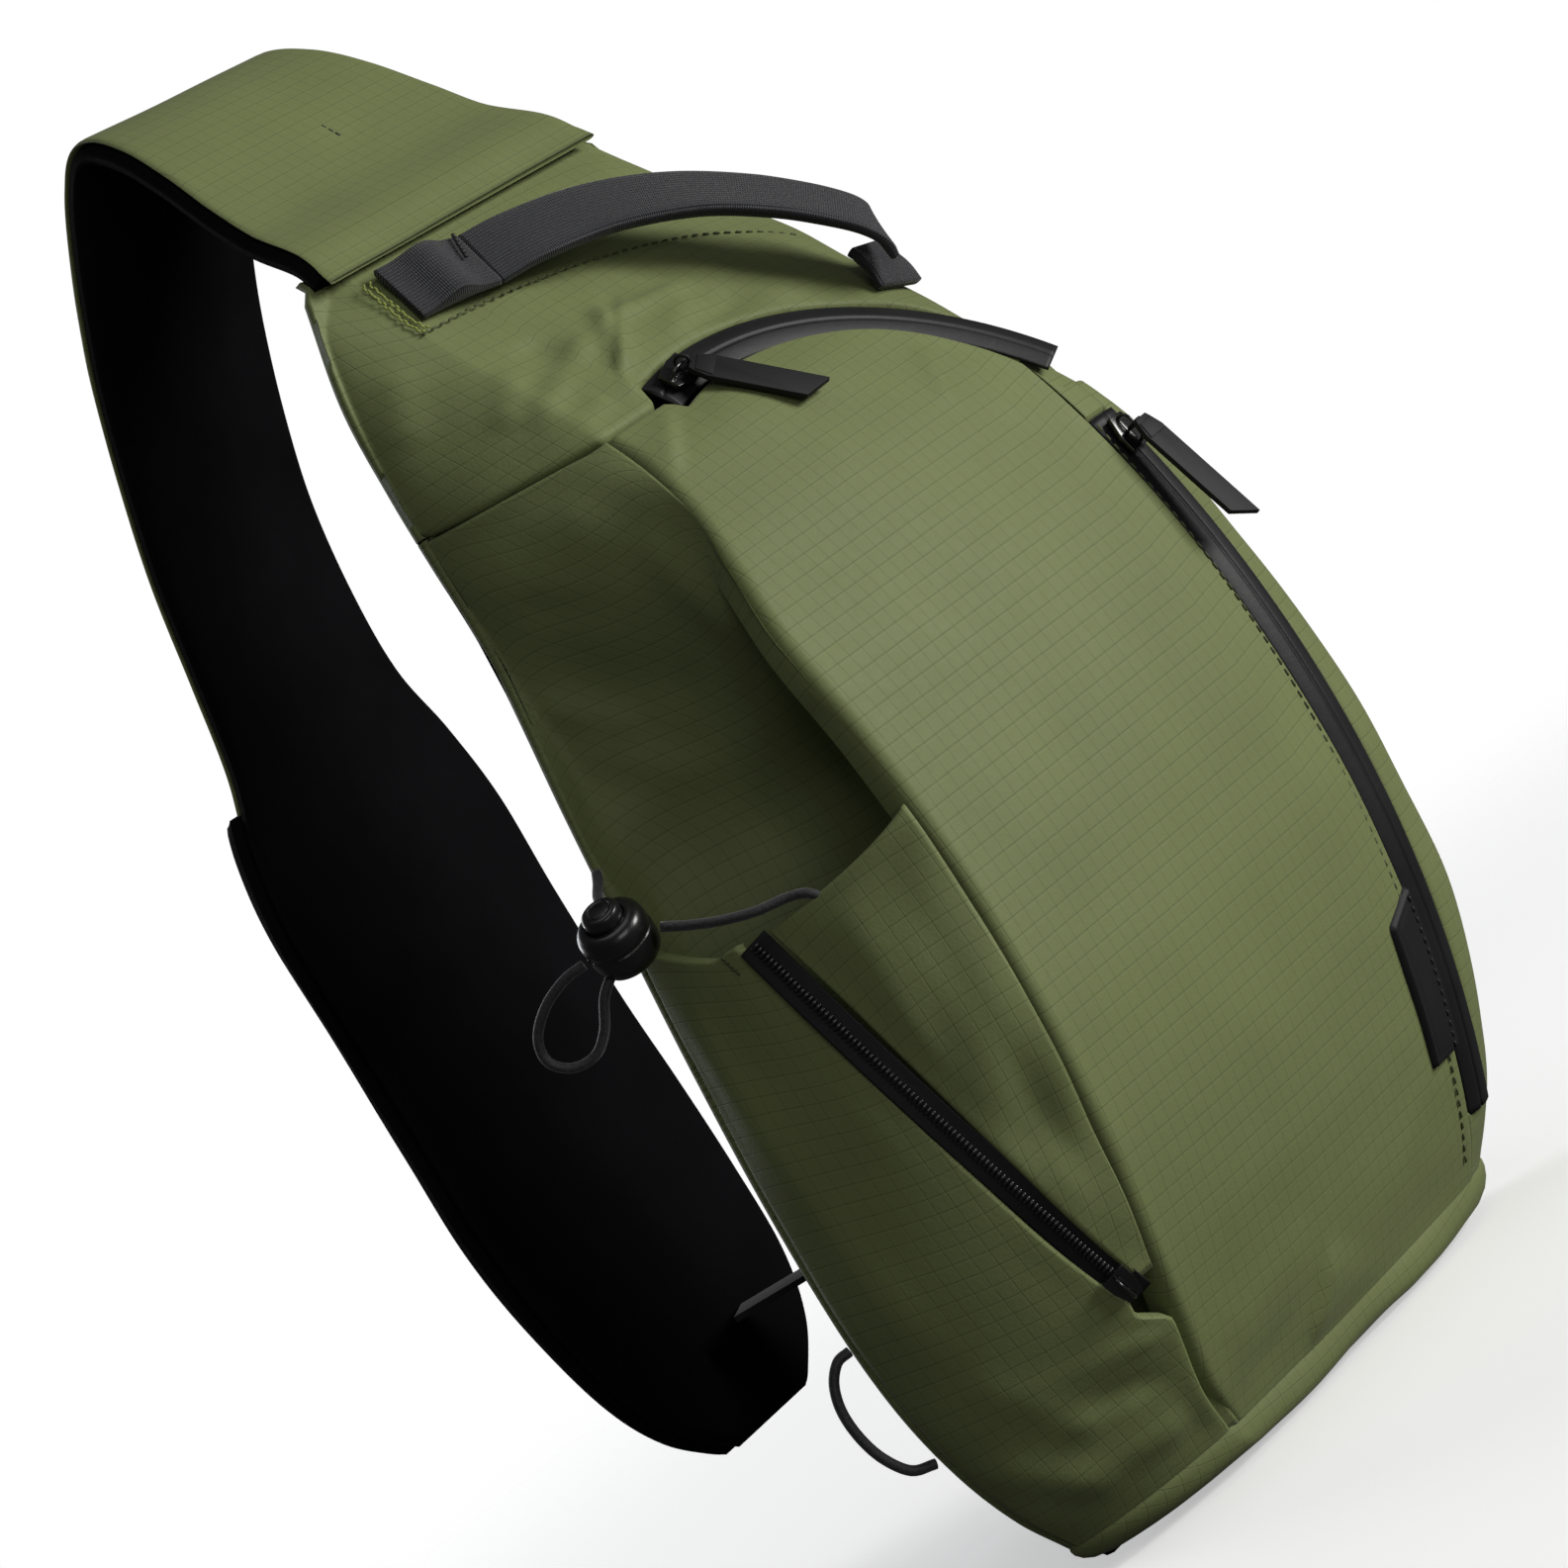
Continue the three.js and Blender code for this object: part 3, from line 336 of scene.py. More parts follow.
def webbing_material(name, color, pitch):
    mat = Material(name, color, 0.6)
    u, v = mat.uv()
    rib = mat.line(u, pitch, pitch * 0.42)
    pick = mat.line(v, pitch * 0.62, pitch * 0.26)
    weave = mat.math("MULTIPLY", rib, pick)
    grain = mat.noise(700, 2, rough=0.7)
    lit = mat.ramp(weave, scale(color, 0.5), scale(color, 2.1), (0.0, 1.0))
    mat.paint(mat.mix(mat.math("MULTIPLY", grain, 0.3), lit, scale(color, 1.5)))
    mat.rough(grain, 0.5, 0.72)
    mat.add_height(rib, 0.35)
    mat.add_height(pick, 0.2)
    mat.add_height(grain, 0.12)
    mat.bump(0.0007, 0.9)
    mat.surface(Sheen_Weight=0.25, Sheen_Roughness=0.35)
    return mat.data


def satin_material(name, color, rough, grain, depth, spread=0.1, coat=0.0, specular=0.5):
    mat = Material(name, color, rough)
    fine = mat.noise(grain, 3, rough=0.6)
    broad = mat.noise(45, 3)
    mat.paint(mat.ramp(broad, scale(color, 0.8), scale(color, 1.3), (0.3, 0.7)))
    mat.rough(broad, rough - spread / 2, rough + spread / 2)
    mat.add_height(fine, 0.3)
    mat.add_height(broad, 0.3)
    mat.bump(depth, 0.5)
    mat.surface(Coat_Weight=coat, Coat_Roughness=0.12, Specular_IOR_Level=specular)
    return mat.data


def elastic_material(name, color):
    mat = Material(name, color, 0.6)
    fine = mat.noise(1400, 2, rough=0.6)
    mat.paint(mat.ramp(fine, scale(color, 0.5), scale(color, 2.2), (0.35, 0.7)))
    mat.add_height(fine, 0.4)
    mat.bump(0.0004, 0.8)
    mat.surface(Sheen_Weight=0.3)
    return mat.data


OLIVE = (0.142, 0.168, 0.066)
ripstop = ripstop_material("ripstop_olive", OLIVE)
# the same olive ripstop painted 8% darker as painted shade, for the recessed side wall behind the bottle
# pocket
ripstop_painted_shade = ripstop_material("ripstop_shade", scale(OLIVE, 0.92))
lining = cloth_black("lining_black", (0.0009, 0.0009, 0.0011), grain=900, depth=0.0006, rough=0.92)
padding = cloth_black("padding_black", (0.0042, 0.0042, 0.005), grain=600, depth=0.0009, rough=0.85)
mesh_cloth = cloth_black("spacer_mesh", (0.012, 0.012, 0.0135), grain=420, depth=0.0016, rough=0.85)
webbing = webbing_material("webbing_black", (0.0115, 0.0126, 0.0176), pitch=0.00105)
tape_gloss = satin_material("zip_tape_coated", (0.006, 0.0062, 0.0075), 0.52, 420, 0.0004, specular=0.3)
coil_gloss = satin_material("coil_nylon", (0.010, 0.010, 0.011), 0.22, 900, 0.0001, 0.08, coat=0.3)
enamel = satin_material("enamel_black", (0.005, 0.005, 0.0055), 0.24, 300, 0.0001, 0.08, coat=0.6)
soft_black = satin_material("soft_pull", (0.0075, 0.0076, 0.009), 0.6, 700, 0.0003, 0.08, specular=0.25)
moulded = satin_material("moulded_black", (0.0055, 0.0055, 0.006), 0.3, 500, 0.0002, coat=0.25)
elastic = elastic_material("elastic_black", (0.014, 0.014, 0.016))
thread_green = satin_material("thread_olive", (0.055, 0.062, 0.022), 0.7, 900, 0.0002)
thread_light = satin_material("thread_light", (0.22, 0.26, 0.05), 0.6, 900, 0.0002)
thread_black = satin_material("thread_black", (0.004, 0.004, 0.004), 0.6, 900, 0.0002)
steel = satin_material("spring_steel", (0.4, 0.4, 0.41), 0.3, 500, 0.0001)
foam_mat = cloth_black("foam_dark", (0.012, 0.012, 0.013), grain=500, depth=0.0008, rough=0.95)


# ---------- the body's skin, as in the CAD ----------
# each row: height, half width at the back and at the front's left, depth (0 where the front zip's
# arc gives it), swell of the left side, rounding and swell of the right side
STATIONS = np.array([
    [9, 99, 60, 33, 2, 22, 4], [23, 108, 69, 0, 3, 27, 5], [41, 115, 73, 0, 4, 30, 6],
    [63, 119, 76, 0, 5, 33, 7], [88, 119, 77, 0, 6, 36, 9], [125, 114.5, 77, 0, 7, 38, 12],
    [165, 107, 75.5, 0, 7, 40, 14], [205, 98, 74, 0, 7, 43, 16], [235, 91, 72, 0, 6, 43, 15],
    [258, 85, 65, 0, 4, 37, 11], [275, 81, 58, 66, 2, 38, 9], [290, 79, 54, 59, 1, 42, 7],
    [303, 78, 51, 50, 0, 46, 6], [325, 75.5, 50, 36, 0, 44, 3], [350, 71, 49, 20, 0, 30, 1],
    [378, 60, 46, 7, 0, 12, 0]], float)


def arc_depth(z):
    """The body's depth where it follows the front zip's arc."""
    return np.sqrt(FRONT_RADIUS ** 2 - (z - FRONT_CENTRE[2]) ** 2) - FRONT_CENTRE[1]


STATIONS[:, 3] = np.where(STATIONS[:, 3] == 0, arc_depth(STATIONS[:, 0]), STATIONS[:, 3])


def profile(z, column):
    """A column of the stations at a height, as a smooth curve through them."""
    z = np.asarray(z, float)
    heights, values = STATIONS[:, 0], STATIONS[:, column]
    last = len(heights) - 1
    i = np.clip(np.searchsorted(heights, z, side="right") - 1, 0, last - 1)
    span = heights[i + 1] - heights[i]
    t = np.clip((z - heights[i]) / span, 0, 1)

    def slope(r):
        a, b = np.maximum(r - 1, 0), np.minimum(r + 1, last)
        return (values[b] - values[a]) / (heights[b] - heights[a])

    m0, m1 = slope(i) * span, slope(i + 1) * span
    t2, t3 = t * t, t * t * t
    return ((2 * t3 - 3 * t2 + 1) * values[i] + (t3 - 2 * t2 + t) * m0
            + (3 * t2 - 2 * t3) * values[i + 1] + (t3 - t2) * m1)


def bezier(points, s):
    """A cubic curve's x and y at the shares s."""
    r = 1 - s
    weights = (r * r * r, 3 * s * r * r, 3 * s * s * r, s * s * s)
    return (sum(w * p[0] for w, p in zip(weights, points)),
            sum(w * p[1] for w, p in zip(weights, points)))


def skin(across, z):
    """Places on the body. Across is 0 and 3 at the back's left and right edges, and 1 and 2 at the
    front's left and right corners."""
    a, z = np.broadcast_arrays(np.asarray(across, float), np.asarray(z, float))
    back, front, depth, left_swell, corner, right_swell = (profile(z, c) for c in range(1, 7))
    right = front + 3
    crown = 4 * np.minimum(1, depth / 60)
    s = np.clip(a, 0, 1)
    left_middle = (-front - 0.3 * (back - front) - 0.9 * left_swell, -0.88 * depth)
    lx, ly = bezier([(-back, 0 * z), (-back - left_swell, -0.4 * depth), left_middle,
                     (-front, -depth)], s)
    s = np.clip(a - 1, 0, 1)
    fx, fy = -front + s * (front + right), -depth - crown * 4 * s * (1 - s)
    s = np.clip(a - 2, 0, 1)
    rx, ry = bezier([(right, -depth), (right + corner, -depth + 0.1 * corner),
                     (back + right_swell, -0.5 * depth), (back, 0 * z)], s)
    x = np.where(a <= 1, lx, np.where(a <= 2, fx, rx))
    y = np.where(a <= 1, ly, np.where(a <= 2, fy, ry))
    return np.stack([x, y, z * np.ones_like(x)], -1)


def skin_normal(across, z):
    a, z = np.broadcast_arrays(np.asarray(across, float), np.asarray(z, float))
    up = skin(a, z + 1) - skin(a, z - 1)
    ahead = skin(np.minimum(a + 0.02, 3), z) - skin(np.maximum(a - 0.02, 0), z)
    return unit(np.cross(ahead, up))


def solve(test, low, high, shape):
    """The value between low and high where the test stops being true, by halving."""
    low = np.full(shape, low, float)
    high = np.full(shape, high, float)
    for _ in range(36):
        middle = (low + high) / 2
        below = test(middle)
        low = np.where(below, middle, low)
        high = np.where(below, high, middle)
    return (low + high) / 2


def across_at(x, z):
    x, z = np.broadcast_arrays(np.asarray(x, float), np.asarray(z, float))
    return solve(lambda a: skin(a, z)[..., 0] < x, 1.0, 2.3, x.shape)


def side_across_at(y, z):
    y, z = np.broadcast_arrays(np.asarray(y, float), np.asarray(z, float))
    return solve(lambda a: skin(a, z)[..., 1] > y, 0.0, 1.0, y.shape)


def smooth(value, low, high):
    t = np.clip((np.asarray(value, float) - low) / (high - low), 0, 1)
    return t * t * (3 - 2 * t)


# ---------- cloth: soft undulations and folds, in millimetres along the normal ----------
def ripple(points, size, seed):
    """A smooth irregular wave of about unit height with features of a size."""
    rng = np.random.default_rng(seed)
    total = np.zeros(points.shape[:-1])
    for _ in range(7):
        direction = rng.normal(size=3)
        direction /= np.linalg.norm(direction)
        frequency = 2 * math.pi / (size * rng.uniform(0.7, 1.8))
        total += np.sin(points @ direction * frequency + rng.uniform(0, 6.28))
    return total / 2.6


def fold(points, a, b, width, height, taper=0.25):
    """A ridge (or a valley when height is negative) along the line from a to b."""
    a, b = np.array(a, float), np.array(b, float)
    along = b - a
    length = np.linalg.norm(along)
    t = ((points - a) @ along) / length ** 2
    nearest = a + np.clip(t, 0, 1)[..., None] * along
    away = np.linalg.norm(points - nearest, axis=-1)
    ends = smooth(t, -0.02, taper) * (1 - smooth(t, 1 - taper, 1.02))
    return height * np.exp(-(away / width) ** 2) * ends


def folds(points, items):
    return sum(fold(points, *item) for item in items)


def sharp_fold(points, a, b, reach, height, side):
    """A tucked edge: it rises gently on one side of the line and drops at once on the other."""
    a, b = np.array(a, float), np.array(b, float)
    along = b - a
    length = np.linalg.norm(along)
    t = ((points - a) @ along) / length ** 2
    across = np.cross(along / length, np.array(side, float))
    signed = (points - a) @ across
    ends = smooth(t, -0.05, 0.3) * (1 - smooth(t, 0.7, 1.05))
    rise = np.exp(-np.maximum(signed, 0) / reach) * smooth(signed, -1.2, 0.6)
    return height * rise * ends


# ---------- mesh builders ----------
def link_mesh(name, vertices, faces, material, uvs=None, smooth_shading=True):
    mesh = bpy.data.meshes.new(name)
    mesh.from_pydata([tuple(v) for v in vertices], [], faces)
    if uvs is not None:
        layer = mesh.uv_layers.new(name="cloth")
        index = np.empty(len(mesh.loops), dtype=np.int32)
        mesh.loops.foreach_get("vertex_index", index)
        layer.data.foreach_set("uv", np.asarray(uvs, np.float32)[index].ravel())
    mesh.materials.append(material)
    if smooth_shading:
        mesh.polygons.foreach_set("use_smooth", [True] * len(mesh.polygons))
    mesh.update()
    return add_object(name, mesh)


def finish_piece(obj, body, replaced=()):
    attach(obj, body)
    if replaced:
        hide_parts(*replaced)
    return obj


def grid_faces(nu, nv, offset=0, flip=False):
    faces = []
    for i in range(nu - 1):
        for j in range(nv - 1):
            a = offset + i * nv + j
            corners = (a, a + nv, a + nv + 1, a + 1)
            faces.append(corners[::-1] if flip else corners)
    return faces


def ring_faces(rings, corners, first=0):
    """The faces of a tube of closed rings, with its two ends."""
    faces = []
    for i in range(rings - 1):
        for j in range(corners):
            a = first + i * corners + j
            b = first + i * corners + (j + 1) % corners
            faces.append((a, b, b + corners, a + corners))
    last = first + (rings - 1) * corners
    faces.append(tuple(range(first, first + corners))[::-1])
    faces.append(tuple(range(last, last + corners)))
    return faces


def cloth_piece(name, points, faces, u, v, material, body, replaced=()):
    """A mesh from points in millimetres, with its place on the flat cloth."""
    uvs = np.stack([np.ravel(u), np.ravel(v)], -1) / 1000
    obj = link_mesh(name, row(np.reshape(points, (-1, 3))), faces, material, uvs)
    return finish_piece(obj, body, replaced)


def run_along(points, axis=0):
    """The length run from the first point of a path, or the first row or column of a grid."""
    steps = np.linalg.norm(np.diff(points, axis=axis), axis=-1)
    start = np.zeros_like(steps.take([0], axis))
    return np.concatenate([start, np.cumsum(steps, axis=axis)], axis=axis)


def grid_normal(grid):
    normal = np.cross(np.gradient(grid, axis=0), np.gradient(grid, axis=1))
    return normal / np.maximum(np.linalg.norm(normal, axis=-1, keepdims=True), 1e-9)


def rounded(distance, radius):
    """The share of full height at a distance from a round edge."""
    return np.sqrt(np.clip(1 - (1 - np.clip(distance / radius, 0, 1)) ** 2, 0, 1))


def circle(corners, width, height):
    turns = [2 * math.pi * k / corners for k in range(corners)]
    return [(width / 2 * math.cos(t), height / 2 * math.sin(t)) for t in turns]


def level(value):
    """An edge at one height, or at one place round the body."""
    return lambda at: np.full_like(at, value)


def line_x(x):
    """An edge that runs up the front at one x."""
    return lambda z: across_at(x, z)


def stops(length, low, high, step):
    """Shares of a length, every step, with extra ones near rolled edges of a radius."""
    inner = list(np.linspace(low, length - high, max(2, int((length - low - high) / step))))
    curve = [0.0, 0.12, 0.3, 0.55, 0.8]
    start = [c * low for c in curve] if low > 0 else []
    end = [length - c * high for c in reversed(curve)] if high > 0 else []
    return np.array(sorted(set(start + inner + end))) / length


def edge_drop(distance, radius):
    if radius <= 0:
        return np.zeros_like(distance)
    inside = np.clip(distance, 0, radius)
    return radius - np.sqrt(np.maximum(radius ** 2 - (radius - inside) ** 2, 0))


BOARD_FRONT = -3.3
WRAP_RUN = (0.8, 2.4, 4.5, 8)


def add_wrap(points, normal, u, v, z, side):
    """Takes a sheet's left (-1) or right (1) edge round the edge of the back panel, in four rows."""
    edge_z = z[0] if side < 0 else z[-1]
    edge = skin(np.full(edge_z.shape, 0.0 if side < 0 else 3.0), edge_z)
    turned = np.stack([edge + np.array(shift) for shift in (
        (side * 0.5, -3.5, 0), (side * 0.5, -1.2, 0), (-side * 0.1, 0.25, 0), (-side * 4.5, 0.4, 0))])
    if side < 0:
        points, normal, u, v = points[::-1], normal[::-1], u[::-1], v[::-1]
    points = np.concatenate([points, turned])
    normal = np.concatenate([normal] + [normal[-1:]] * 4)
    u = np.concatenate([u] + [u[-1:] + side * k for k in WRAP_RUN])
    v = np.concatenate([v] + [v[-1:]] * 4)
    if side < 0:
        points, normal, u, v = points[::-1], normal[::-1], u[::-1], v[::-1]
    return points, normal, u, v


def cloth_panel(name, left, right, bottom, top, size, roll, material=None, replaced=(), lift=0.0,
                sink=None, cloth=None, uv_from="left", uv_start=None, skirt=3.2, step=2.2, wrap=None):
    """A panel of the body's skin with soft rolled edges (left, right, bottom, top) in mm."""
    s = stops(size[0], roll[0], roll[1], step)[:, None]
    t = stops(size[1], roll[2], roll[3], step)[None, :]
    z = bottom(s) + (top(s) - bottom(s)) * t
    a = left(z) + (right(z) - left(z)) * s
    base = skin(a, z)
    if sink is not None:
        base = base + sink(a, z)
    normal = grid_normal(base)
    across = run_along(base, 0)
    up = run_along(base, 1)
    away = (across, across[-1:] - across, up, up[:, -1:] - up)
    raised = np.full(z.shape, float(lift))
    if cloth is not None:
        calm = np.ones_like(z)
        for distance, radius in zip(away, roll):
            calm *= smooth(distance, 0, 9) if radius > 0 else 1
        raised += cloth(base) * (0.15 + 0.85 * calm)
    for distance, radius in zip(away, roll):
        raised -= edge_drop(distance, radius)
    points = base + normal * raised[..., None]
    v = z[:, :1] + up
    if uv_from == "x":
        u = base[..., 0]
    else:
        start = uv_start(z) if uv_start else 0
        u = start - away[1] if uv_from == "right" else start + across
    drops = [skirt if radius > 0 else 0.01 for radius in roll]
    if wrap:
        side = -1 if wrap == "left" else 1
        points[..., 1] = np.minimum(points[..., 1], BOARD_FRONT)
        points, normal, u, v = add_wrap(points, normal, u, v, z, side)
        drops[0 if side < 0 else 1] = 0.01
    points = np.concatenate([
        points[:1] - normal[:1] * drops[0], points, points[-1:] - normal[-1:] * drops[1]])
    normal = np.concatenate([normal[:1], normal, normal[-1:]])
    points = np.concatenate([
        points[:, :1] - normal[:, :1] * drops[2], points,
        points[:, -1:] - normal[:, -1:] * drops[3]], axis=1)
    cloth_piece(name, points, grid_faces(*points.shape[:2]), np.pad(u, 1, mode="edge"),
                np.pad(v, 1, mode="edge"), material or ripstop, "bag", replaced)


def smooth_path(points, per_span):
    """A Catmull-Rom curve through points, sampled."""
    p = np.asarray(points, float)
    p = np.vstack([2 * p[0] - p[1], p, 2 * p[-1] - p[-2]])
    out = []
    for i in range(1, len(p) - 2):
        for k in range(per_span):
            t = k / per_span
            out.append(0.5 * (2 * p[i] + (p[i + 1] - p[i - 1]) * t
                              + (2 * p[i - 1] - 5 * p[i] + 4 * p[i + 1] - p[i + 2]) * t * t
                              + (3 * p[i] - p[i - 1] - 3 * p[i + 1] + p[i + 2]) * t ** 3))
    out.append(p[-2])
    return np.array(out)


def resample(path, step):
    length = run_along(path)
    count = max(2, int(round(length[-1] / step)) + 1)
    at = np.linspace(0, length[-1], count)
    return np.stack([np.interp(at, length, path[:, k]) for k in range(path.shape[1])], -1)


def frames_along(path, ups):
    tangent = unit(np.gradient(path, axis=0))
    side = unit(np.cross(tangent, ups))
    return tangent, side, np.cross(side, tangent)


def sweep(path, side, up, section):
    """Rings of a closed section, given as (side, up) offsets or one set for each ring."""
    section = np.asarray(section, float)
    if section.ndim == 2:
        section = np.repeat(section[None], len(path), axis=0)
    rings = (path[:, None] + side[:, None] * section[..., :1] + up[:, None] * section[..., 1:])
    return rings.reshape(-1, 3), ring_faces(*rings.shape[:2])


def swept(name, path, ups, section, material, body, replaced):
    """A band or cord along a path, with its ends closed."""
    _, side, up = frames_along(path, ups)
    section = np.asarray(section, float)
    if section.ndim == 2:
        section = np.repeat(section[None], len(path), axis=0)
    vertices, faces = sweep(path, side, up, section)
    v = np.repeat(run_along(path), section.shape[1])
    return cloth_piece(name, vertices, faces, section[..., 0], v, material, body, replaced)


def rounded_section(width, thickness, corner, steps=4, flat_steps=8):
    """A flat band's section with round edges."""
    points = []
    half_w = width / 2 - corner
    half_t = thickness / 2 - corner
    for cx, cy, start in ((half_w, half_t, 0), (-half_w, half_t, 90),
                          (-half_w, -half_t, 180), (half_w, -half_t, 270)):
        for k in range(steps + 1):
            angle = math.radians(start + 90 * k / steps)
            points.append((cx + corner * math.cos(angle), cy + corner * math.sin(angle)))
        if start in (0, 180):
            sign = 1 if start == 0 else -1
            for k in range(1, flat_steps):
                points.append((sign * half_w * (1 - 2 * k / flat_steps), sign * thickness / 2))
    return points


def stitch_line(name, path, ups, material, length, gap, radius, sink=0.1):
    """A row of thread stitches laid along a path."""
    vertices, faces = [], []
    fine = resample(path, length + gap)
    shares = np.linspace(0, 1, len(fine))
    dense_up = np.stack([np.interp(shares, np.linspace(0, 1, len(ups)), ups[:, k]) for k in range(3)], -1)
    tangent, side, up = frames_along(fine, dense_up)
    ring = circle(6, 2, 2)
    for i in range(len(fine)):
        first = len(vertices)
        middle = fine[i] + up[i] * (radius - sink)
        for at, grow in ((-0.5, 0.35), (-0.34, 1), (0.34, 1), (0.5, 0.35)):
            lower = -radius * 0.7 if abs(at) > 0.45 else 0
            for c, d in ring:
                vertices.append(middle + tangent[i] * at * length + side[i] * c * radius * 1.25 * grow
                                + up[i] * (d * radius * grow + lower))
        faces += ring_faces(4, len(ring), first)
    obj = link_mesh(name, row(vertices), faces, material)
    return finish_piece(obj, "bag")


def on_skin(points, lift):
    """Points (x, z) of the front turned into places a little over the skin, with normals."""
    p = np.asarray(points, float)
    a = across_at(p[:, 0], p[:, 1])
    n = skin_normal(a, p[:, 1])
    return skin(a, p[:, 1]) + n * lift, n


def on_side(points, lift):
    """Points (across, z) of the skin, lifted, with normals."""
    p = np.asarray(points, float)
    n = skin_normal(p[:, 0], p[:, 1])
    return skin(p[:, 0], p[:, 1]) + n * lift, n


# ---------- cords ----------
def cord_piece(name, points, diameter, replaced):
    path = smooth_path(points, 6)
    measured = run_along(path)[-1] / 1000
    curve = bpy.data.curves.new(name, "CURVE")
    curve.dimensions = "3D"
    curve.bevel_depth = diameter / 2000
    curve.bevel_resolution = 4
    curve.use_fill_caps = True
    spline = curve.splines.new("POLY")
    places = row(path)
    spline.points.add(len(places) - 1)
    for point, place in zip(spline.points, places):
        point.co = (*place, 1)
    curve.materials.append(elastic)
    obj = add_object(name, curve)
    finish_piece(obj, "bag", replaced)
    return obj


ANCHOR_LOOP = [
    (-121.2, -1.5, 84), (-124.8, 0.6, 83.6), (-128, 3, 79.5), (-129.8, 4.4, 73),
    (-129.8, 4.6, 65), (-128.4, 3.6, 57.5), (-125, 1.6, 51), (-119.6, -1.2, 48.6)]
DRAWCORD_LOOP = [
    (-122.3, -7.5, 200.5), (-126, -2.6, 200.3), (-130.4, 4, 197.6), (-133.6, 9.6, 192.4),
    (-134, 11.4, 186.2), (-131.4, 8.4, 181.4), (-127.4, 3, 180.6), (-124.4, -1.8, 184.4),
    (-122.6, -6.6, 190.8), (-119.4, -10.4, 194.6)]
cord_piece("cord_anchor_left", ANCHOR_LOOP, 2.8, ["anchor_loop_left"])
cord_piece("cord_anchor_right", [(-x, y, z) for x, y, z in ANCHOR_LOOP], 2.8, ["anchor_loop_right"])
cord_piece("cord_draw_loop", DRAWCORD_LOOP, 2.7, ["drawcord_loop"])


def held_cord(name, points, diameter, replaced):
    path = resample(smooth_path(points, 8), 1.2)
    ups = np.tile([0.3, 0.2, 1.0], (len(path), 1))
    return swept(name, path, ups, circle(12, diameter, diameter), elastic, "bag", replaced)


held_cord("draw_front_leg", [(-110.8, -26, 197), (-108.6, -32, 193.4), (-105.4, -39.4, 189.6),
                             (-101, -46.6, 186.6), (-96, -52.4, 185),
                             (-93.8, -57, 183), (-92.6, -59.4, 179.6)], 2.7, ["drawcord_front_leg"])
held_cord("draw_rear_leg", [(-108.6, -10.4, 209.6), (-105.6, -8, 212), (-101.6, -6.4, 214.4),
                            (-99, -5.8, 217)], 2.7, ["drawcord_rear_leg"])

# ---------- body panels ----------
MAIN_RADIUS = 88.0
MAIN_CENTRE = np.array([-2.0, -88.5, 229.0])
MAIN_AXIS = np.array([0, 0.892, -0.452])
MAIN_UP = np.array([0, 0.452, 0.892])
MAIN_HALF = 5.5
MAIN_GAP = 0.8
MAIN_FROM, MAIN_TO = -15.0, 70.0


def main_zip_top(x):
    """The height of the main zip's lower edge at x."""
    reach = MAIN_RADIUS - MAIN_HALF - MAIN_GAP
    share = np.clip((np.asarray(x, float) - MAIN_CENTRE[0]) / reach, -1, 1)
    return MAIN_CENTRE[2] + reach * MAIN_UP[2] * np.sqrt(1 - share ** 2)


def main_edge(degrees, outward):
    """A place beside the main zip: 1 is outside its arc and -1 inside."""
    angle = np.radians(degrees)
    reach = MAIN_RADIUS + outward * (MAIN_HALF + MAIN_GAP)
    x = MAIN_CENTRE[0] + reach * np.sin(angle)
    z = MAIN_CENTRE[2] + reach * MAIN_UP[2] * np.cos(angle)
    return x, z, across_at(x, z)


zip_start_x = float(main_edge(np.array(MAIN_FROM), -1)[0])


def front_top(x):
    left = SEAM_Z - 0.5
    cut = np.minimum(left, main_zip_top(x))
    blend = smooth(x, zip_start_x - 5, zip_start_x - 2)
    return left * (1 - blend) + cut * blend


front_left = level(1.004)
front_right = line_x(FRONT_RIGHT_X - 0.3)


def front_panel_top(s):
    """The top edge's height at each share of the panel's own width, found step by step."""
    z = np.full_like(s, SEAM_Z)
    for _ in range(30):
        start = front_left(z)
        z = (z + front_top(skin(start + (front_right(z) - start) * s, z)[..., 0])) / 2
    return z


def front_cloth(p):
    soft = 0.55 * ripple(p, 95, 11) + 0.16 * ripple(p, 34, 12)
    lines = folds(p, [
        ((49, -66, 279), (34, -74, 258), 3.2, 1.1),
        ((62, -62, 268), (50, -74, 244), 7.0, 0.7),
        ((-24, -58, 300), (-4, -76, 262), 9.0, 0.5),
        ((-60, -45, 26), (-15, -60, 34), 8.0, 0.8),
        ((-52, -40, 14), (-8, -52, 22), 4.0, -0.9),
        ((20, -50, 17), (58, -62, 44), 6.0, 0.9),
        ((64, -50, 30), (46, -72, 60), 9.0, 0.6),
    ])
    tuck = sharp_fold(p, (-26, -52, 303), (-52, -63, 284), 9.0, 1.8, (0.3, -0.9, 0.3))
    dart = sharp_fold(p, (-26, -34, 7), (-8, -50, 30), 9.0, 1.9, (0.2, -0.9, 0.4))
    return soft + lines + tuck + dart


cloth_panel("front_cloth", front_left, front_right, level(BASE_Z - 0.2), front_panel_top, (150, 320),
            (4.2, 2.2, 0.8, 1.8), replaced=["front_panel"], cloth=front_cloth, uv_from="x", skirt=5,
            lift=0.5)


def facing_top(s):
    x = facing_left + s * (facing_right - facing_left)
    return np.maximum(247.5, main_zip_top(np.minimum(x, 76.5)) - 1)


facing_left = FRONT_RIGHT_X
facing_right = FRONT_ZIP_X + 5.7
cloth_panel("facing_cloth", line_x(facing_left), line_x(facing_right), level(236.6), facing_top,
            (12, 14), (0, 1.2, 1.6, 1.2), replaced=["front_facing"], uv_from="x", step=1.2)
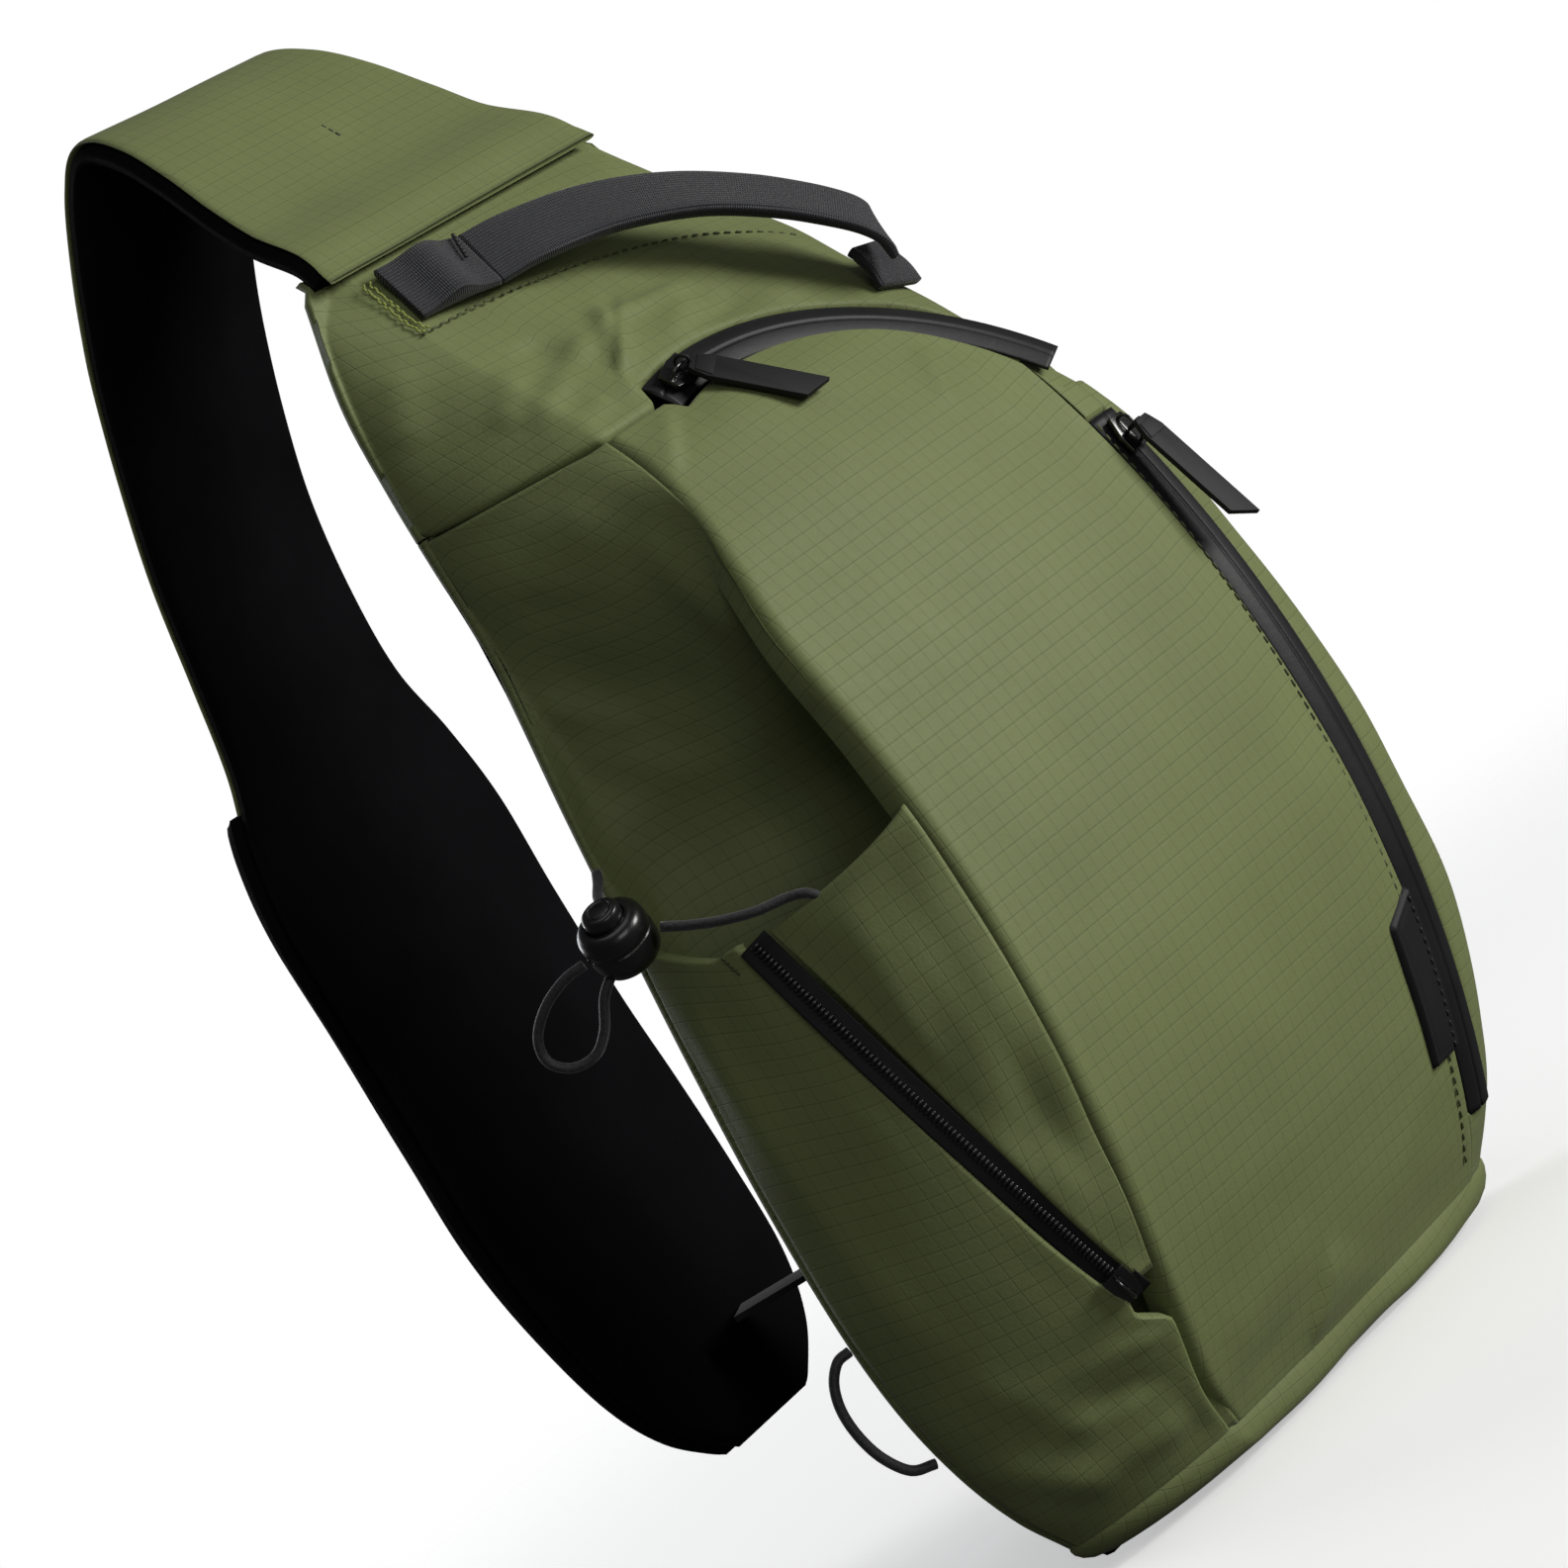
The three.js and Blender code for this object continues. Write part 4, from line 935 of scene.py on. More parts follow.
# two fillers: under the front zip's lower end, and behind the main zip's right end
cloth_panel("zip_foot", line_x(72.0), line_x(86.0), level(8.6), level(25.0), (14, 16),
            (0, 0, 0, 1.2), lift=-0.2, uv_from="x", step=1.2)
cloth_panel("facing_corner", line_x(73.6), line_x(95.0), level(245.5), level(260.5), (22, 15),
            (0, 0, 0, 0), lift=-1.1, uv_from="x", step=1.2)


def gusset_cloth(p):
    return (0.8 * ripple(p, 90, 21) + 0.25 * ripple(p, 32, 22) + folds(p, [
        ((96, -40, 40), (112, -20, 120), 10, 1.2), ((100, -50, 190), (110, -18, 235), 8, 1.0),
        ((95, -30, 22), (118, -8, 70), 6, -1.0), ((112, -34, 110), (114, -14, 200), 9, 0.9)]))


cloth_panel("gusset_cloth", line_x(facing_right + 0.3), level(3.0), level(BASE_Z - 0.2), level(247.5),
            (100, 240), (2.0, 1.6, 0.8, 1.6), replaced=["right_gusset"], cloth=gusset_cloth,
            uv_start=level(80.0), skirt=4, wrap="right")


def recess(across, z):
    """How far the wall behind the bottle pocket stands in."""
    high = 1 - smooth(z, 196, 300)
    low = smooth(z, 8, 60)
    middle = np.sin(np.pi * np.clip(across, 0, 1)) ** 0.8
    step = 4.4 * (1 - smooth(z, 200, 226))
    amount = 40 * high * low * middle + step
    return amount[..., None] * np.array([0.965, 0.264, 0])


def along_front(z):
    """The cloth's own measure at the body's left front edge."""
    return -profile(z, 2)


def wall_cloth(p):
    return (1.2 * ripple(p, 60, 31) + 0.45 * ripple(p, 24, 32) + folds(p, [
        ((-84, -4, 262), (-70, -22, 238), 4, 1.5), ((-76, -14, 284), (-58, -40, 262), 4, -1.5),
        ((-90, -4, 236), (-76, -26, 208), 5, 1.4), ((-64, -34, 296), (-52, -52, 272), 4, 1.5),
        ((-72, -8, 296), (-60, -44, 262), 7, 1.6), ((-66, -20, 300), (-54, -46, 286), 4, 1.1),
        ((-78, -10, 268), (-60, -40, 236), 8, -1.4), ((-82, -6, 248), (-66, -30, 215), 6, 1.5),
        ((-60, -50, 280), (-66, -60, 240), 6, 1.3)]))


cloth_panel("side_wall_cloth", level(0.0), level(0.992), level(BASE_Z + 0.5),
            lambda s: 310.4 - 7.4 * np.minimum(1, s * 1.15), (95, 300), (1.4, 0, 0, 1.4),
            ripstop_painted_shade, replaced=["side_wall_left"], sink=recess, cloth=wall_cloth,
            uv_from="right", uv_start=along_front, skirt=3, lift=0.2, wrap="left")

# Yoke: bottom edge given as (across, z) stops, top at the strap seam.
yoke_stops = [(0, 311), (0.35, 307.5), (0.7, 305), (1, SEAM_Z)]
main_start = main_edge(np.array(MAIN_FROM), 1)
yoke_stops.append((float(main_start[2]) - 0.03, SEAM_Z))
for degrees in np.linspace(MAIN_FROM, MAIN_TO, 24):
    edge = main_edge(np.array(degrees), 1)
    yoke_stops.append((float(edge[2]), float(edge[1])))
yoke_stops += [(2.35, 249), (2.65, 249.5), (3, 250.5)]
yoke_stops = np.array(yoke_stops)
yoke_run = run_along(skin(yoke_stops[:, 0], yoke_stops[:, 1]))


def yoke_cloth(p):
    soft = 0.5 * ripple(p, 70, 41) + 0.3 * ripple(p, 26, 42)
    lines = folds(p, [
        ((-27, -44, 312), (-2, -30, 338), 3.2, 2.3), ((-24, -48, 307), (-44, -30, 322), 4.0, 2.6),
        ((-14, -34, 331), (27, -36, 328), 3.0, 1.4), ((-14, -34, 331), (-57, -38, 316), 4.0, 1.8),
        ((-4, -46, 316), (20, -36, 326), 5.0, 1.2), ((-34, -36, 318), (-30, -26, 338), 6.0, -1.8),
        ((-58, -30, 318), (-42, -30, 334), 4.5, 1.6), ((-62, -20, 316), (-50, -22, 330), 5.0, -1.3),
        ((-50, -42, 308), (-36, -44, 312), 4.0, 1.4), ((2, -52, 312), (34, -40, 318), 4.5, -0.9),
        ((30, -46, 312), (62, -40, 306), 6.0, 0.9), ((-14, -38, 322), (10, -28, 340), 6.0, -0.5),
        ((-70, -10, 330), (-60, -14, 352), 6.0, 0.8)])
    tuck = sharp_fold(p, (-30, -44, 313), (6, -30, 336), 7.0, 2.2, (0.1, -0.7, 0.7))
    return soft + lines + tuck


def yoke_piece():
    run = yoke_run[-1]
    at = np.concatenate([[0, 0.3, 0.8, 1.4], np.arange(2.2, run - 2, 1.9),
                         [run - 1.4, run - 0.8, run - 0.3, run]])
    a = np.interp(at, yoke_run, yoke_stops[:, 0])[:, None]
    low = np.interp(at, yoke_run, yoke_stops[:, 1])[:, None]
    t = np.concatenate([[0, 0.006, 0.016, 0.03, 0.045], np.linspace(0.06, 0.97, 52), [0.985, 1]])[None]
    z = low + (TOP_Z - low) * t
    a = a + 0 * z
    base = skin(a, z)
    normal = grid_normal(base)
    up = run_along(base, 1)
    calm = smooth(up, 0, 8) * smooth(up[:, -1:] - up, 0, 12)
    raised = yoke_cloth(base) * (0.1 + 0.9 * calm) - edge_drop(up, 2.0)
    raised -= 2.4 * smooth(z, 362, TOP_Z) * np.clip(-normal[..., 1], 0, 1) ** 2
    points = base + normal * raised[..., None]
    points[..., 1] = np.minimum(points[..., 1], BOARD_FRONT)
    across = run_along(base, 0)
    corner = int(np.argmin(np.abs(a[:, 0] - 1)))
    u = across - across[corner:corner + 1] + along_front(z)
    v = 300 + up + (low - SEAM_Z)
    for side in (-1, 1):
        points, normal, u, v = add_wrap(points, normal, u, v, z, side)
    # the cloth turns in under the zip and the seams
    lower = points[:, :1] - normal[:, :1] * 4
    rim = points[:, -1:]
    narrow = 0.985 - 0.06 * smooth(rim[..., 1:2], -7, -2)
    keep = np.ones_like(narrow)
    seam = rim * np.concatenate([narrow, keep, keep], axis=-1) + np.array([0, 1.4, 3.4])
    cap = seam * np.array([0.97, 1, 1]) + np.array([0, 3.5, 3.0])
    points = np.concatenate([lower, points, seam, cap], axis=1)
    u = np.concatenate([u[:, :1], u, u[:, -1:], u[:, -1:]], axis=1)
    v = np.concatenate([v[:, :1], v, v[:, -1:], v[:, -1:] + 6], axis=1)
    cloth_piece("yoke_cloth", points, grid_faces(*points.shape[:2]), u, v, ripstop, "bag",
                ["yoke_panel"])


yoke_piece()


def base_piece():
    rings = [(0.996, 10.4), (1.0, 9.3), (1.004, 8.4), (1.0, 7.0), (0.982, 4.9), (0.952, 3.0),
             (0.905, 1.4), (0.83, 0.5), (0.7, 0.15), (0.5, 0.1), (0.25, 0.1), (0.04, 0.1)]
    s = np.linspace(0, 3, 160)
    edge = skin(s, np.full_like(s, BASE_Z))
    points, v = [], []
    for share, z in rings:
        x = edge[:, 0] * share
        y = (edge[:, 1] + 14) * share - 14
        lift = 0.5 * ripple(np.stack([x, y, 0 * x], -1), 40, 51) * share * (z > 0.3)
        points.append(np.stack([x, y, np.maximum(z + lift, 0.05)], -1))
        v.append(y - z)
    points = np.array(points)
    cloth_piece("base_cloth", points, grid_faces(*points.shape[:2]), points[..., 0], v, ripstop,
                "bag", ["base_panel"])


base_piece()


# ---------- bottle pocket ----------
def circle_arc(centre, start, side, radius):
    """A zip's arc: places on it and the ways out from its centre, by angle in degrees."""
    def arc(degrees):
        a = np.radians(np.asarray(degrees, float))[..., None]
        radial = start * np.cos(a) + side * np.sin(a)
        return centre + radial * radius, radial
    return arc


POCKET_AXIS = unit(np.array([0.632, -0.75, 0.198]))
POCKET_RADIUS = 179.0
pocket_start = unit(-np.cross([0, 0, 1.0], POCKET_AXIS))
pocket_arc = circle_arc(np.array([35.0, 61.0, 124.0]), pocket_start,
                        np.cross(POCKET_AXIS, pocket_start), POCKET_RADIUS)


pocket_degrees = np.linspace(-30, 36, 400)
pocket_places, _ = pocket_arc(pocket_degrees)


def pocket_angle(z):
    return np.interp(-np.asarray(z, float), -pocket_places[:, 2], pocket_degrees)


def pocket_zip_across(z):
    places, _ = pocket_arc(pocket_angle(z))
    return side_across_at(places[..., 1], z)


ZIP_SHARE = 0.076
POCKET_TOP, POCKET_BOTTOM = 181.0, 54.0


def rear_right(z):
    """The rear pocket wall's right edge: beside the zip, and under its lower end to the front."""
    beside = pocket_zip_across(np.maximum(z, POCKET_BOTTOM)) - ZIP_SHARE + 0.03
    under = 1 - smooth(z, POCKET_BOTTOM - 11, POCKET_BOTTOM - 3)
    return beside + (0.99 - beside) * under


def pocket_cloth(p):
    return (0.8 * ripple(p, 70, 61) + 0.3 * ripple(p, 26, 62) + folds(p, [
        ((-104, -10, 186), (-115, -22, 64), 6.0, 2.6), ((-112, -20, 66), (-96, -34, 30), 5.0, 1.6),
        ((-108, -26, 54), (-74, -54, 42), 3.6, 1.9), ((-106, -26, 44), (-78, -46, 32), 3.6, -1.5),
        ((-116, -8, 44), (-94, -28, 12), 5.0, 1.5), ((-106, -14, 30), (-72, -40, 18), 5.0, 1.3),
        ((-104, -24, 96), (-92, -44, 66), 7.0, 1.2),
        ((-104, -24, 160), (-110, -34, 110), 9.0, -0.8)]))


def pocket_front_cloth(p):
    return 1.3 * ripple(p, 44, 71) + 0.4 * ripple(p, 20, 72) + folds(p, [
        ((-88, -62, 178), (-94, -56, 112), 5, 2.8), ((-80, -72, 182), (-84, -66, 84), 5, -2.4),
        ((-84, -68, 156), (-84, -60, 78), 4, 2.0), ((-94, -54, 156), (-88, -58, 96), 4, -1.8)])


RIM_BACK = 197.0
RIM_FRONT = 187.0
cloth_panel("pocket_rear_cloth", level(0.0), rear_right, level(BASE_Z - 0.2),
            lambda s: RIM_BACK - (RIM_BACK - POCKET_TOP - 1.5) * np.minimum(1, s * 1.3),
            (60, 185), (1.6, 1.2, 0.8, 1.4), replaced=["pocket_rear_wall"], cloth=pocket_cloth,
            uv_start=lambda z: along_front(z) - 60, skirt=2.4, step=1.8, lift=0.4, wrap="left")
cloth_panel("pocket_front_cloth", lambda z: pocket_zip_across(z) + ZIP_SHARE - 0.03, level(0.99),
            level(58.0), lambda s: POCKET_TOP + (RIM_FRONT - POCKET_TOP) * s * s,
            (40, 122), (1.2, 0, 0, 1.4), replaced=["pocket_front_wall"], cloth=pocket_front_cloth,
            uv_from="right", uv_start=along_front, skirt=2.4, step=1.6, lift=0.3)


# ---------- zips ----------
def arc_tape(name, arc, degrees, half, axis, flat, replaced, lift, swell=0.0, groove=0.0):
    """A zip's tape along an arc. A flat tape lies in the arc's plane."""
    path, radial = arc(degrees)
    if flat:
        wide, out = radial, np.broadcast_to(-axis, radial.shape)
    else:
        wide, out = np.broadcast_to(axis, radial.shape), radial
    shares = np.linspace(-1, 1, 23)
    height = swell * (1 - shares ** 2) - groove * np.exp(-(shares / 0.06) ** 2)
    top = np.stack([shares * half, height + lift], -1)
    under = np.stack([shares[::-1] * half, np.full(len(shares), -TAPE_THICKNESS)], -1)
    section = np.concatenate([top, under])
    vertices, faces = sweep(path, wide, out, section)
    u = np.tile(section[:, 0], len(path))
    v = np.repeat(run_along(path), len(section))
    return cloth_piece(name, vertices, faces, u, v, tape_gloss, "bag", replaced)


def zip_teeth(name, arc, degrees, radius, axis, half, pitch, replaced):
    """One row of a coil's loops, each a small rounded bar across the zip."""
    low, high = degrees
    count = int(abs(math.radians(high - low)) * radius / pitch)
    vertices, faces = [], []
    ring = circle(8, 2, 2)
    for i in range(count):
        angle = low + (high - low) * (i + 0.5) / count
        place, radial = arc(np.array(angle))
        ahead, _ = arc(np.array(angle + 0.2))
        run = unit(ahead - place)
        first = len(vertices)
        for at, grow in ((-1, 0.45), (-0.75, 0.95), (0, 1.1), (0.75, 0.95), (1, 0.45)):
            for c, d in ring:
                vertices.append(place + axis * at * half + run * c * pitch * 0.4 * grow
                                + radial * (0.25 + d * 0.75 * grow))
        faces += ring_faces(5, len(ring), first)
    obj = link_mesh(name, row(vertices), faces, coil_gloss)
    return finish_piece(obj, "bag", replaced)


TAPE_THICKNESS = 1.2
front_low, front_high = (math.degrees(math.asin((FRONT_CENTRE[2] - z) / FRONT_RADIUS))
                         for z in (236, 24))
pocket_from, pocket_to = float(pocket_angle(POCKET_TOP)), float(pocket_angle(POCKET_BOTTOM))
front_arc = circle_arc(FRONT_CENTRE, np.array([0, -1.0, 0]), np.array([0, 0, -1.0]), FRONT_RADIUS)
main_arc = circle_arc(MAIN_CENTRE, MAIN_UP, np.array([1.0, 0, 0]), MAIN_RADIUS)

arc_tape("pocket_tape", pocket_arc, np.linspace(pocket_from, pocket_to, 90), 4.3, -POCKET_AXIS, False,
         ["pocket_zip_tape"], lift=-0.6)
zip_teeth("pocket_teeth", pocket_arc, (pocket_from + 0.3, pocket_to - 0.3), POCKET_RADIUS,
          -POCKET_AXIS, 1.25, 1.35, ["pocket_zip_coil"])
arc_tape("front_tape", front_arc, np.linspace(front_low, front_high, 120), 5.5,
         np.array([1.0, 0, 0]), False, ["front_zip_tape", "front_zip_coil"], lift=-0.4, swell=1.0,
         groove=0.9)
arc_tape("main_tape", main_arc, np.linspace(MAIN_FROM, MAIN_TO, 110), 5.7, MAIN_AXIS, True,
         ["main_zip_tape", "main_zip_coil"], lift=-0.5, swell=1.0, groove=0.7)

# ---------- back padding ----------
PAD_CORNER = 26.0
QUILT_LINES = (78, 150, 222, 292)


def back_pad(name, inset, low, high, rest, thick, radius, material, replaced, quilt=0.0):
    """A flat pad on the back with round edges, narrowing upwards like the back panel."""
    columns, rows = 90, 200
    t = (0.5 - 0.5 * np.cos(np.linspace(0, math.pi, rows)))[None]
    s = np.sin(np.linspace(-math.pi / 2, math.pi / 2, columns))[:, None]
    z = low + (high - low) * t + 0 * s
    from_end = np.minimum(z - low, high - z)
    into_corner = np.maximum(PAD_CORNER - from_end, 0)
    tight = PAD_CORNER - np.sqrt(np.maximum(PAD_CORNER ** 2 - into_corner ** 2, 0))
    half = profile(z, 1) - inset - tight
    x = s * half
    near = np.minimum(half - np.abs(x), from_end)
    points = np.stack([x, rest + thick * rounded(near, radius), z], -1)
    soft = 0.25 * ripple(points, 60, 101) * smooth(near, 2, 14)
    if quilt:
        for line in QUILT_LINES:
            soft = soft - quilt * np.exp(-((z - line - 0.0009 * x ** 2) / 2.6) ** 2) * smooth(near, 3, 12)
    points[..., 1] += soft
    return cloth_piece(name, points, grid_faces(columns, rows, 0, True), x, z, material, "bag",
                       replaced)


back_pad("back_cushion", 10.0, 15, 351, 0.4, 7.0, 5.0, foam_mat, ["back_foam"])
back_pad("back_cover", 8.0, 12.5, 355.5, 0.5, 8.5, 7.0, mesh_cloth, ["back_mesh"],
                   quilt=1.5)

# ---------- strap ----------
# each row: y, height, half width and turn in degrees of one station along the strap
STRAP = np.array([
    [-1, 378.4, 57, 0], [3.5, 386, 55, 0], [16, 398, 52, 0], [26, 412, 49.5, 0],
    [36, 427, 46, 0], [47, 440, 43, 1], [59, 447.5, 40, 2], [71, 443, 38.5, 4],
    [84, 432, 38, 6], [98, 417, 38, 8], [112, 399, 38, 9], [127, 375, 38, 10],
    [140, 350, 38, 10], [150, 322, 38.5, 9], [157, 297, 41, 8], [161.5, 275, 49, 8],
    [165, 250, 54.5, 9], [169, 218, 56, 11], [173, 180, 56, 11], [175.5, 150, 56, 10],
    [176, 120, 53, 9], [175.5, 92, 46.5, 7], [175, 72, 35, 5], [174.5, 57, 18, 3]], float)


def strap_edges(per_span):
    """The strap's left and right edge lines through its stations."""
    turn = np.tan(np.radians(STRAP[:, 3]))
    sides = []
    for sign in (-1, 1):
        points = np.stack([sign * STRAP[:, 2], STRAP[:, 0] + sign * STRAP[:, 2] * turn, STRAP[:, 1]], -1)
        sides.append(smooth_path(points, per_span))
    return sides


PER_SPAN = 12
strap_left, strap_right = strap_edges(PER_SPAN)


def strap_layer(name, first_station, last_station, low, high, inset, radius, material, replaced,
                cloth=None, start_down=False):
    """A padded layer between two stations of the strap, with rounded long edges and ends."""
    columns = 26
    start, end = (int(round(station * PER_SPAN)) for station in (first_station, last_station))
    left, right = strap_left[start:end + 1], strap_right[start:end + 1]
    if start_down:
        left, right = (np.concatenate([side[:1] - (side[1] - side[0]) * k for k in (6, 4, 2)] + [side])
                       for side in (left, right))
    width = right - left
    across = np.linalg.norm(width, axis=1, keepdims=True)
    wide = width / across
    middle = (left + right) / 2
    out = unit(np.cross(wide, unit(np.gradient(middle, axis=0))))
    run = run_along(middle)
    half = across[:, 0] / 2 - inset
    offsets = half[:, None] * np.sin(np.linspace(-math.pi / 2, math.pi / 2, columns))[None]
    from_ends = run[-1] - run if start == 0 else np.minimum(run, run[-1] - run)
    share = rounded(half[:, None] - np.abs(offsets), radius) * rounded(from_ends, radius)[:, None]
    centre = (low + high) / 2
    thick = (high - low) / 2
    base = middle[:, None] + wide[:, None] * offsets[..., None]
    bulge = cloth(base) if cloth else 0
    top = base + out[:, None] * (centre + thick * share + bulge * share)[..., None]
    bottom = base + out[:, None] * (centre - thick * share)[..., None]
    n, m = top.shape[:2]
    total = n * m
    faces = grid_faces(n, m, 0, True) + grid_faces(n, m, total, False)
    for i in range(n - 1):
        a = i * m
        faces.append((a, a + m, a + m + total, a + total)[::-1])
        b = i * m + m - 1
        faces.append((b, b + m, b + m + total, b + total))
    for j in range(m - 1):
        faces.append((j, j + 1, j + 1 + total, j + total))
        b = (n - 1) * m + j
        faces.append((b, b + 1, b + 1 + total, b + total)[::-1])
    return cloth_piece(name, [top, bottom], faces, np.tile(offsets.reshape(-1), 2),
                       np.tile(np.repeat(run, m), 2), material, "bag", replaced)


def strap_dimple(p):
    """The small sewn tack in the outer cover, and the cloth's soft waves."""
    tack = np.array([8.0, 20.0, 411.0])
    away = np.linalg.norm(p - tack, axis=-1)
    return -0.9 * np.exp(-(away / 6.0) ** 2) + 0.35 * ripple(p, 70, 81) + 0.1 * ripple(p, 24, 82)


PAD = 6.2
COVER_END = 14.5
pad = strap_layer("strap_padding", 0, 23, 0.0, PAD, 0.0, 3.1, padding, ["strap_pad"])
strap_layer("strap_outer", 0, COVER_END, PAD + 0.2, PAD + 1.8, 1.2, 2.4, ripstop,
            ["strap_cover"], cloth=strap_dimple, start_down=True)
sleeve = strap_layer("strap_pocket", COVER_END, 23, PAD + 0.3, PAD + 7.3, 0.5, 3.5, padding,
                     ["strap_sleeve"], cloth=lambda p: 0.5 * ripple(p, 60, 91))

# ---------- grab handle ----------
handle_path = [(-17.66, -19.3, 362.8), (-4, -25, 361.5), (17, -32, 357), (36, -41, 348),
               (50, -50.5, 336), (61, -58.5, 323), (67.5, -61.5, 314), (71, -58.5, 307)]


def handle_ups(path):
    """The way out from the bag at each point of a path over its front."""
    z = np.clip(path[:, 2], BASE_Z, TOP_Z)
    return skin_normal(across_at(path[:, 0], z), z)


handle_line = resample(smooth_path(handle_path, 16), 1.0)
flat_section = np.array(rounded_section(20, 2.6, 1.25))
handle_sections = []
for k in np.linspace(0, 1, len(handle_line)):
    plump = 1.0 + 0.5 * math.sin(math.pi * k) ** 0.7
    narrow = 1.0 - 0.06 * math.sin(math.pi * k)
    handle_sections.append(flat_section * np.array([narrow, plump]))
swept("handle_band", handle_line, handle_ups(handle_line), handle_sections, webbing,
      "handle", ["grab_handle"])

sewn_xz = [(-44, 365.6), (-38, 364.8), (-31, 363.6), (-24.5, 362.2), (-18.4, 361.0)]
lifts = [1.6, 2.6, 4.6, 4.4, 4.4]
sewn_points, sewn_normals = on_skin(sewn_xz, 0)
sewn_line = smooth_path(sewn_points + sewn_normals * np.array(lifts)[:, None], 12)
sewn_sections = []
for k in np.linspace(0, 1, len(sewn_line)):
    plump = 0.9 + 1.5 * math.exp(-((k - 0.5) / 0.2) ** 2)
    sewn_sections.append(flat_section * np.array([1.0, plump]))
swept("handle_left_root", sewn_line, handle_ups(sewn_line), sewn_sections, webbing,
      "bag", ["handle_sewn_end"])

end_points, end_normals = on_skin([(70.6, 306.0), (70.8, 303), (70.6, 298.5), (70.2, 294.6)], 0)
end_line = smooth_path(end_points + end_normals * np.array([6.6, 6.0, 4.6, 1.8])[:, None], 10)
swept("handle_right_root", end_line, handle_ups(end_line), flat_section * np.array([0.94, 1.1]), webbing,
      "bag", ["handle_right_end"])

# ---------- other CAD nodes keep their shape and get these materials ----------
FINISH = {
    "back_panel": lining, "inner_divider": lining,
    "strap_webbing": webbing, "strap_adjuster": moulded, "strap_hook": moulded,
    "cord_lock_spring": steel,
}
for node_name, material in FINISH.items():
    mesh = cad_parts[node_name].data
    mesh.materials.clear()
    mesh.materials.append(material)


# ---------- zip sliders, pullers, label and cord lock ----------
def basis(x, z, at):
    """A piece's own frame: near x, exactly z, and its place."""
    x, z = np.asarray(x, float), np.asarray(z, float)
    y = unit(np.cross(z, x))
    return unit(np.cross(y, z)), y, unit(z), np.asarray(at, float)


def placed(own_frame, points):
    x, y, z, at = own_frame
    p = np.asarray(points, float)
    return at + p[:, :1] * x + p[:, 1:2] * y + p[:, 2:3] * z


def soften_edges(obj, width, segments, degrees):
    soften = obj.modifiers.new("edges", "BEVEL")
    soften.width = width / 1000
    soften.segments = segments
    soften.limit_method = "ANGLE"
    soften.angle_limit = math.radians(degrees)


def slab(outline, low, high):
    n = len(outline)
    points = [(x, y, low) for x, y in outline] + [(x, y, high) for x, y in outline]
    faces = [tuple(range(n))[::-1], tuple(range(n, 2 * n))]
    faces += [(i, (i + 1) % n, n + (i + 1) % n, n + i) for i in range(n)]
    return points, faces


def tube(path, width, height, turn=(0, 1, 0)):
    """A bar with a round section along a path, in the piece's own frame."""
    path = np.asarray(path, float)
    _, side, up = frames_along(path, np.tile(turn, (len(path), 1)))
    return sweep(path, side, up, circle(8, width, height))


def hard_piece(name, own_frame, shapes, material, body, replaced, bevel=0.35):
    """Several shapes in one mesh with small rounded edges."""
    points, faces = [], []
    for shape_points, shape_faces in shapes:
        first = len(points)
        points += [tuple(q) for q in shape_points]
        faces += [tuple(first + i for i in f) for f in shape_faces]
    obj = link_mesh(name, row(placed(own_frame, points)), faces, material)
    soften_edges(obj, bevel, 3, 40)
    return finish_piece(obj, body, replaced)


BAR_HEIGHT = 5.8


def slider_shapes(width, length):
    """A zip slider: its top plate, the raised middle and the bar its puller hangs on."""
    half = length / 2
    plan = [(-half, -width * 0.32), (length * 0.05, -width / 2), (half, -width / 2),
            (half, width / 2), (length * 0.05, width / 2), (-half, width * 0.32)]
    reach = length * 0.39
    arch = smooth_path([(-reach, 0, 2.9), (-reach * 0.92, 0, 4.6), (-reach * 0.6, 0, 5.7),
                        (0, 0, BAR_HEIGHT), (reach * 0.6, 0, 5.7), (reach * 0.92, 0, 4.6),
                        (reach, 0, 2.9)], 4)
    nose = [(-length * 0.3, -0.9), (length * 0.3, -0.9), (length * 0.3, 0.9), (-length * 0.3, 0.9)]
    return [slab(plan, 1.4, 3.0), slab(nose, 2.9, 3.2), tube(arch, 1.2, 1.0)]


def puller_shapes(length, width, slant, along_bar):
    """A ring and a flat pull with one slanted end, held side on when along_bar is set."""
    ring_points = []
    for k in range(25):
        angle = 2 * math.pi * k / 24
        c, d = 2.0 * math.cos(angle), 2.0 * math.sin(angle)
        ring_points.append((0, d, -c) if along_bar else (c, 0, d))
    ring_turn = (1, 0, 0) if along_bar else (0, 1, 0)
    start = 0.1 if along_bar else 1.8
    low = 1.5 if along_bar else -0.8
    plan = [(start, -width * 0.3), (start + 1.2, -width * 0.36), (start + 5, -width / 2),
            (start + length - slant, -width / 2), (start + length, width / 2), (start + 5, width / 2),
            (start + 1.2, width * 0.36), (start, width * 0.3)]
    neck = [(start + 1.6, -width * 0.33), (start + 6.5, -width * 0.44), (start + 6.5, width * 0.44),
            (start + 1.6, width * 0.33)]
    return [tube(ring_points, 1.0, 1.0, ring_turn), slab(plan, low, low + 1.6),
            slab(neck, low - 0.1, low + 1.9)]


def puller_basis(at, out, direction):
    direction = unit(np.asarray(direction, float))
    side = unit(np.cross(direction, out))
    return basis(direction, np.cross(side, direction), at + out * BAR_HEIGHT)


def arc_at(arc, angle):
    place, radial = arc(np.array(float(angle)))
    ahead, _ = arc(np.array(angle + 0.05))
    return place, radial, unit(ahead - place)


